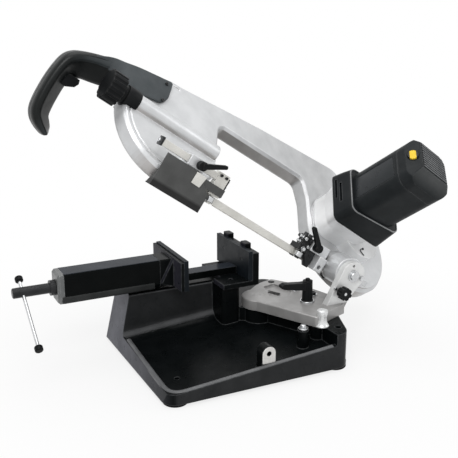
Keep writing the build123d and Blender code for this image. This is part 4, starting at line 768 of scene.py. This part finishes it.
# Motor: shroud round its foot with two air slots, a thin bead painted light grey as a highlight
# along the shroud's top, and the bare plate.
# Rings of height n, half width along u, half width along v, corner radius and tilt
shroud_rings = (
    (75.6, 50.0, 44.0, 22.0, 0.0), (75.6, 61.3, 53.8, 12.0, 0.0), (77.0, 62.5, 55.0, 13.0, 0.0),
    (82.0, 62.0, 54.7, 13.0, 0.0), (87.0, 61.4, 54.4, 13.0, 0.0), (92.0, 60.8, 54.0, 13.0, 0.0),
    (97.0, 60.2, 53.6, 13.0, 0.0), (110.0, 58.0, 52.8, 13.0, 3.0), (119.6, 56.4, 52.0, 13.0, 5.6),
    (121.4, 55.6, 51.5, 13.0, 6.0), (122.2, 54.2, 50.2, 12.0, 6.0), (122.4, 46.8, 46.8, 23.0, 6.0),
)
shroud_mid_u = -6.5
shroud_mid_v = 100.4
corner_steps = 8
side_stops = (136.0, 124.0, 92.0, 80.0)
shroud_slots = ((3, 136.0, 92.0), (5, 124.0, 80.0))
slot_depth = 0.007


def shroud_ring(n, half_u, half_v, radius, tilt):
    """Points round the shroud at a height that rises by the tilt towards the drive end."""
    spots = []
    for corner_u, corner_v, first in ((1, 1, 0), (-1, 1, 90), (-1, -1, 180), (1, -1, 270)):
        for step in range(corner_steps):
            angle = radians(first + 90 * step / (corner_steps - 1))
            spots.append((corner_u * (half_u - radius) + radius * cos(angle),
                          shroud_mid_v + corner_v * (half_v - radius) + radius * sin(angle)))
        if first == 90:
            spots += [(-half_u, stop) for stop in side_stops]
    return [bow_point(shroud_mid_u + u, v, n + tilt * u / half_u) for u, v in spots]


shroud_points = [shroud_ring(*ring) for ring in shroud_rings]
shroud_verts = [point for ring in shroud_points for point in ring]
ring_size = len(shroud_points[0])
stop_place = {stop: 2 * corner_steps + place for place, stop in enumerate(side_stops)}
slot_faces = []
slot_quads = set()
for ring, high, low in shroud_slots:
    first, last = stop_place[high], stop_place[low]
    bottom, top = ring * ring_size, (ring + 1) * ring_size
    pocket = {}
    for row in (ring, ring + 1):
        for place in range(first, last + 1):
            pocket[row * ring_size + place] = len(shroud_verts)
            shroud_verts.append(shroud_points[row][place] + bow_u * slot_depth)
    for place in range(first, last):
        slot_quads.add((ring, place))
        slot_faces.append((pocket[bottom + place], pocket[bottom + place + 1],
                           pocket[top + place + 1], pocket[top + place]))
        for edge in (bottom + place, top + place):
            slot_faces.append((edge, edge + 1, pocket[edge + 1], pocket[edge]))
    for place in (first, last):
        slot_faces.append(
            (bottom + place, top + place, pocket[top + place], pocket[bottom + place]),
        )
shroud_faces = slot_faces + grid_faces(len(shroud_rings), ring_size, skip=slot_quads)
motor_shroud = shell(
    "motor_shroud", shroud_verts, shroud_faces, skirt_black, "bow", moulded_angle,
)
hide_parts("motor_skirt")
bead_half_u, bead_half_v = 55.0, 51.0
bead_section = ((121.2, -0.6), (121.2, 1.1), (122.9, 0.7), (122.9, -0.6))
bead_verts = [point for n, out in bead_section
              for point in shroud_ring(n, bead_half_u + out, bead_half_v + out, 13.0, 6.0)]
shell(
    "motor_bead", bead_verts, grid_faces(len(bead_section), ring_size, loop=True), bead_painted_highlight, "bow",
    bead_angle,
)
plate_corners = ((77.5, 121.0), (77.5, 207.0), (123.3, 207.0), (123.3, 121.0))
plate_u = -54.5
plate_outline = [bow_point(plate_u, v, n) for v, n in plate_corners]
slab("motor_plate", plate_outline, bow_u * -0.0007, plate_satin, "bow", 0.0003)

# Handle: one smooth body round the arm, knuckle, grip and foot, with a lip along its inner side.
# Stations of outer point, inner point and the lip's share of the way between them, in u and w
handle_stations = (
    ((-436, 136), (-430, 104), 0.80), ((-460, 134), (-452, 92), 0.72),
    ((-490, 129), (-478, 82), 0.56), ((-523, 121), (-508, 73), 0.40),
    ((-555, 111), (-535, 66), 0.34), ((-577, 102), (-551, 62.5), 0.34),
    ((-590, 94), (-559, 58.5), 0.35), ((-599, 83), (-564, 54), 0.36),
    ((-604, 67), (-567, 47), 0.37), ((-607, 42), (-569, 33), 0.37),
    ((-607.5, 15), (-569, 12), 0.37), ((-606, -8), (-568, -6), 0.38),
    ((-602, -25), (-566, -18), 0.40), ((-593, -38), (-560, -26), 0.45),
    ((-580, -46.5), (-555, -33), 0.48), ((-568, -51), (-553, -40), 0.50),
)
# Section of share from outer to inner point and depth y; the lip's points count from its own share
handle_section = (
    (0.0, 124.3), (0.0, 121.0), (0.015, 114.0), (0.06, 109.0), (0.13, 106.2), (0.22, 105.5),
    ("lip", -0.07, 105.5), ("lip", 0.0, 106.6), ("lip", 0.06, 109.2), (0.90, 128.5), (0.97, 132.0),
    (1.0, 135.5), (0.99, 139.0), (0.94, 142.0), (0.85, 143.0), (0.15, 143.0), (0.05, 141.6),
    (0.0, 136.0), (0.0, 126.7), (0.025, 126.2), (0.025, 124.8),
)
handle_mid_y = 124.25
handle_tip = ((0.86, 1.6), (0.6, 2.6))


def smooth_between(before, start, end, after, share):
    """Number on a smooth curve through four numbers, between the middle two."""
    return 0.5 * (2 * start + (end - before) * share
                  + (2 * before - 5 * start + 4 * end - after) * share ** 2
                  + (3 * start - before - 3 * end + after) * share ** 3)


def smooth_rows(stations, steps):
    """Rows of numbers along smooth curves through stations, some steps from each to the next."""
    last = len(stations) - 1
    rows = []
    for index in range(last):
        near = [stations[max(0, min(last, index + step))] for step in (-1, 0, 1, 2)]
        for step in range(steps):
            rows.append([smooth_between(*numbers, step / steps) for numbers in zip(*near)])
    return rows + [list(stations[last])]


handle_rows = smooth_rows([(*outer, *inner, lip) for outer, inner, lip in handle_stations], 5)
squeezes = [1.0] * len(handle_rows)
*tip_ends, tip_lip = handle_rows[-1]
tip_middle = [(tip_ends[0] + tip_ends[2]) / 2, (tip_ends[1] + tip_ends[3]) / 2] * 2
for squeeze, push in handle_tip:
    shifts = (push, -push, push, -push)
    handle_rows.append([middle + (end - middle) * squeeze + shift
                        for middle, end, shift in zip(tip_middle, tip_ends, shifts)] + [tip_lip])
    squeezes.append(squeeze)
handle_verts = []
for (outer_u, outer_w, inner_u, inner_w, lip), squeeze in zip(handle_rows, squeezes):
    for spot in handle_section:
        share = spot[0] if len(spot) == 2 else lip + spot[1]
        depth = handle_mid_y + (spot[-1] - handle_mid_y) * squeeze
        handle_verts.append(side_point(outer_u + (inner_u - outer_u) * share,
                                       outer_w + (inner_w - outer_w) * share, depth))
handle_size = len(handle_rows), len(handle_section)
handle_faces = grid_faces(*handle_size) + end_faces(*handle_size)
handle_body = shell(
    "handle_body", handle_verts, handle_faces, handle_black, "bow", moulded_angle,
)
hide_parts("handle_front", "handle_rear")

# Cover that leads from the handle's arm over the end of the bow.
# Top and bottom edge points of u, w and depth y
cover_edges = (
    ((-556.0, 107.5, 108.2), (-548.0, 97.5, 108.2)),
    ((-529.9, 120.8, 105.2), (-524.5, 98.3, 105.2)), ((-508.7, 125.8, 100.1), (-505.0, 86.5, 67.0)),
    ((-485.3, 131.3, 99.0), (-493.0, 84.0, 56.5)), ((-454.8, 136.7, 102.6), (-457.3, 94.3, 60.3)),
    ((-431.3, 140.7, 106.6), (-436.7, 98.3, 64.2)), ((-419.3, 142.7, 108.6), (-426.0, 105.1, 71.0)),
    ((-415.6, 140.7, 106.7), (-420.8, 112.8, 78.7)),
)
# Section of share from top to bottom edge and distance inward
cover_section = (
    (0.0, 0.9), (0.02, 0.2), (0.05, 0.0), (0.5, -0.6), (0.95, 0.0), (0.98, 0.2), (1.0, 0.9),
    (1.0, 3.8), (0.0, 3.8),
)
cover_rows = smooth_rows([(*top, *bottom) for top, bottom in cover_edges], 4)
cover_verts = []
for row in cover_rows:
    top, bottom = side_point(*row[:3]), side_point(*row[3:])
    inward = (bottom - top).cross(bow_u).normalized()
    if inward.y < 0:
        inward = inward * -1
    for share, sink in cover_section:
        cover_verts.append(top + (bottom - top) * share + inward * (sink * mm))
cover_size = len(cover_rows), len(cover_section)
cover_faces = grid_faces(*cover_size) + end_faces(*cover_size)
handle_cover = shell(
    "handle_cover", cover_verts, cover_faces, plate_grey, "bow", moulded_angle,
)
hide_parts("handle_plate")
cap_screw("cover_screw_top", side_point(-429.0, 133.0, 98.6), bow_n, 3.2, 2.4, dark_steel, "bow")
cap_screw("cover_screw_low", side_point(-432.5, 102.5, 67.8), bow_n, 3.2, 2.4, dark_steel, "bow")

# Louvre bars on the end of the motor, shorter towards the cap's upper corner
louvre_count = 10
louvre_pitch = 5.6
louvre_top = 136.0
louvre_n = 255.9
louvre_radius = 0.00135
for place in range(louvre_count):
    v = louvre_top - louvre_pitch * place
    louvre_end = min(31.0, 24.0 + 5.0 * place)
    points = [bow_point(u, v, louvre_n) for u in (-33.0, -12.0, 10.0, louvre_end)]
    wire(f"cap_louvre_{place}", points, louvre_radius, louvre_grey, "bow", 4)

# Base: rounded bead on the rim of the tray, coloured lighter grey than the black base as a painted
# highlight
rim_path = (
    (-164.6, 58.0), (-166.4, 0.0), (-167.6, -60.0), (-168.6, -118.0), (-167.4, -132.0),
    (-161.0, -143.0), (-150.0, -148.4), (-134.0, -148.7), (-60.0, -148.7), (20.0, -148.7),
    (90.0, -148.7), (131.0, -148.7),
)
rim_z, rim_slope_x, rim_slope_y = 43.0, 0.08, 0.05
rim_radius = 0.0046
rim_points = [Vector((x, y, rim_z + rim_slope_x * x + rim_slope_y * y)) * mm for x, y in rim_path]
wire("tray_rim", rim_points, rim_radius, rim_painted_highlight, "base")

# Vise: rail along the lower front edge of the tube
rail_section = (
    (0.0702, 0.1312), (0.0668, 0.1306), (0.0662, 0.1288), (0.0662, 0.1206), (0.0676, 0.1188),
    (0.0702, 0.1188),
)
rail_start = -0.276
rail_length = 0.167
rail_outline = [Vector((rail_start, y, z)) for y, z in rail_section]
slab("tube_rail", rail_outline, Vector((rail_length, 0, 0)), rail_grey, "vise_slide")

# Dark collar round the end of the tension screw's housing
hoop(
    "knob_collar", bow_point(-502.2, 90, 13), bow_u,
    [(15.8, 0.0), (18.2, 0.0), (18.8, 1.2), (18.8, 21.0), (17.6, 25.0), (15.8, 25.0)], knob_black,
    "bow", 64,
)

# Right guide: black block in front of the band, with its bolt
block_corners = ((-79, 16), (-59, 17), (-59, -8), (-60, -14), (-66, -14), (-79, 3))
block_back_y = -10.0
block_outline = [side_point(u, w, block_back_y) for u, w in block_corners]
slab("guide_front_block", block_outline, forward * 0.012, dark_steel, "bow", 0.0009)
hex_bolt("guide_block_bolt", side_point(-69.5, 9.0, -22.0), forward, 3.4, 3.0, dark_steel, "bow")

# Drive case: bent hook of dark wire on the housing's face
hook_path = ((48.3, 57.0), (44.0, 55.5), (40.6, 51.5), (41.2, 47.0), (46.0, 44.5), (50.5, 42.5))
hook_n = 46.8
hook_wire = 0.0009
hook_points = [bow_point(u, v, hook_n) for u, v in hook_path]
wire("case_hook", hook_points, hook_wire, dark_steel, "bow", 8)
turned(
    "hook_eye", bow_point(48.6, 57.2, 46.0), bow_n,
    [(2.2, 0.0, 0), (2.2, 1.4, 0), (1.6, 1.9, 0), (0.4, 2.0, 0)], dark_steel, "bow",
)

# Ear of the swivel arm: cap in the knob, set screw and the polished foot below
turned(
    "ear_knob_cap", Vector((0.194, -0.0902, 0.112)), forward,
    [(4.2, 0.0, 0), (4.2, 0.6, 0), (3.4, 1.3, 0), (1.8, 1.6, 0), (0.4, 1.6, 0)], bright_steel,
    "ear_knob",
)
hex_bolt(
    "ear_set_screw", Vector((0.1825, -0.0740, 0.1195)), forward, 3.4, 3.0, bright_steel,
    "swivel_arm",
)
turned(
    "ear_foot", Vector((0.1345, -0.1080, 0.0695)), upward,
    [
        (12.5, 0.0, 0), (12.5, 1.6, 0), (10.8, 3.4, 0), (9.0, 8.0, 0), (8.4, 14.0, 0),
        (8.8, 20.0, 0), (10.0, 26.0, 0), (9.4, 29.0, 0), (6.0, 30.6, 0), (1.0, 31.0, 0),
    ],
    foot_silver, "swivel_arm",
)

# Pivot of the swivel arm: pin that ends flush with the top, with a centre mark
swivel_plug = turned(
    "swivel_plug", Vector((0.084, 0.030, 0.0)), upward,
    [
        (0.4, 27.2, 0), (10.4, 27.2, 0), (11.0, 28.0, 0), (11.0, 87.6, 0), (10.4, 88.3, 0),
        (2.6, 88.3, 0), (1.8, 87.2, 0), (0.3, 86.8, 0),
    ],
    arm_grey, "base",
)
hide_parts("swivel_pin")
# Painted shade: a thin black sheet on the arm's top where its slot shows dark
slot_shade_corners = ((0.1067, 0.0402), (0.1113, 0.0426), (0.1235, 0.0189), (0.1189, 0.0165))
slot_shade_outline = [Vector((x, y, arm_top)) for x, y in slot_shade_corners]
slab("arm_slot_painted_shade", slot_shade_outline, upward * 0.0004, knob_black, "swivel_arm", 0.0002)
turned(
    "arm_hole_plug", Vector((0.138, 0.082, arm_top)), upward,
    [(6.4, 0.0, 0), (6.4, 0.3, 0), (5.8, 0.6, 0), (2.0, 0.4, 0), (0.4, 0.4, 0)], knob_black,
    "swivel_arm",
)

# Pale floor that keeps the shadow, and soft studio light


def seen_rays(tree):
    """Mask that is 1 for rays that see the background straight, reflected or through glass."""
    rays = tree.nodes.new("ShaderNodeLightPath")
    mask = rays.outputs["Is Camera Ray"]
    for kind in ("Is Glossy Ray", "Is Transmission Ray"):
        either = tree.nodes.new("ShaderNodeMath")
        either.operation = "MAXIMUM"
        tree.links.new(mask, either.inputs[0])
        tree.links.new(rays.outputs[kind], either.inputs[1])
        mask = either.outputs["Value"]
    return mask


def mix_shaders(tree, mask, one, two, output):
    """Send a mix of two shaders to an output node."""
    blend = tree.nodes.new("ShaderNodeMixShader")
    for socket, source in enumerate((mask, one, two)):
        tree.links.new(source, blend.inputs[socket])
    tree.links.new(blend.outputs["Shader"], tree.nodes[output].inputs["Surface"])


floor_half = 9
floor_corners = [Vector((x, y, 0)) * floor_half for x, y in ((-1, -1), (1, -1), (1, 1), (-1, 1))]
floor_mesh = bpy.data.meshes.new("floor")
floor_mesh.from_pydata(floor_corners, [], [(0, 1, 2, 3)])
floor = bpy.data.objects.new("floor", floor_mesh)
scene.collection.objects.link(floor)
floor.location.z = -0.0005
paint = Sheet("floor_paint")
paint.shader.inputs["Base Color"].default_value = (0.86, 0.86, 0.86, 1)
paint.shader.inputs["Roughness"].default_value = 0.9
paint.shader.inputs["Specular IOR Level"].default_value = 0.1
glow = paint.add("ShaderNodeEmission")
glow.inputs["Color"].default_value = (1, 1, 1, 1)
glow.inputs["Strength"].default_value = 1.0
reach = paint.add("ShaderNodeVectorMath", operation="LENGTH")
paint.link(paint.place, reach.inputs[0])
fade = paint.ramp(reach.outputs["Value"], low=0.15, high=0.75, low_out=0.80, shape="SMOOTHSTEP")
bright = paint.math("MULTIPLY", seen_rays(paint.tree), fade)
mix_shaders(
    paint.tree, bright, paint.shader.outputs["BSDF"], glow.outputs["Emission"], "Material Output",
)
floor_mesh.materials.append(paint.material)

scene.world = bpy.data.worlds.new("studio")
scene.world.use_nodes = True
sky = scene.world.node_tree
room = sky.nodes["Background"]
room.inputs["Color"].default_value = (1, 1, 1, 1)
room.inputs["Strength"].default_value = 0.36
white = sky.nodes.new("ShaderNodeBackground")
white.inputs["Color"].default_value = (1, 1, 1, 1)
white.inputs["Strength"].default_value = 1.0
mix_shaders(
    sky, seen_rays(sky), room.outputs["Background"], white.outputs["Background"], "World Output",
)


def softbox(name, spot, aim, size, watts):
    """Large lamp aimed at a point."""
    lamp = bpy.data.lights.new(name, "AREA")
    lamp.shape = "RECTANGLE"
    lamp.size, lamp.size_y = size
    lamp.energy = watts
    piece = bpy.data.objects.new(name, lamp)
    scene.collection.objects.link(piece)
    piece.location = spot
    piece.rotation_euler = (Vector(aim) - Vector(spot)).to_track_quat("-Z", "Y").to_euler()


softbox("key", (-0.9, -1.5, 1.9), (0.0, 0.0, 0.2), (1.4, 1.0), 26.0)
softbox("overhead", (0.1, 0.1, 2.1), (0.0, 0.0, 0.2), (1.6, 1.6), 18.0)
softbox("side", (1.9, -0.9, 1.0), (0.1, 0.0, 0.2), (1.0, 1.2), 6.0)
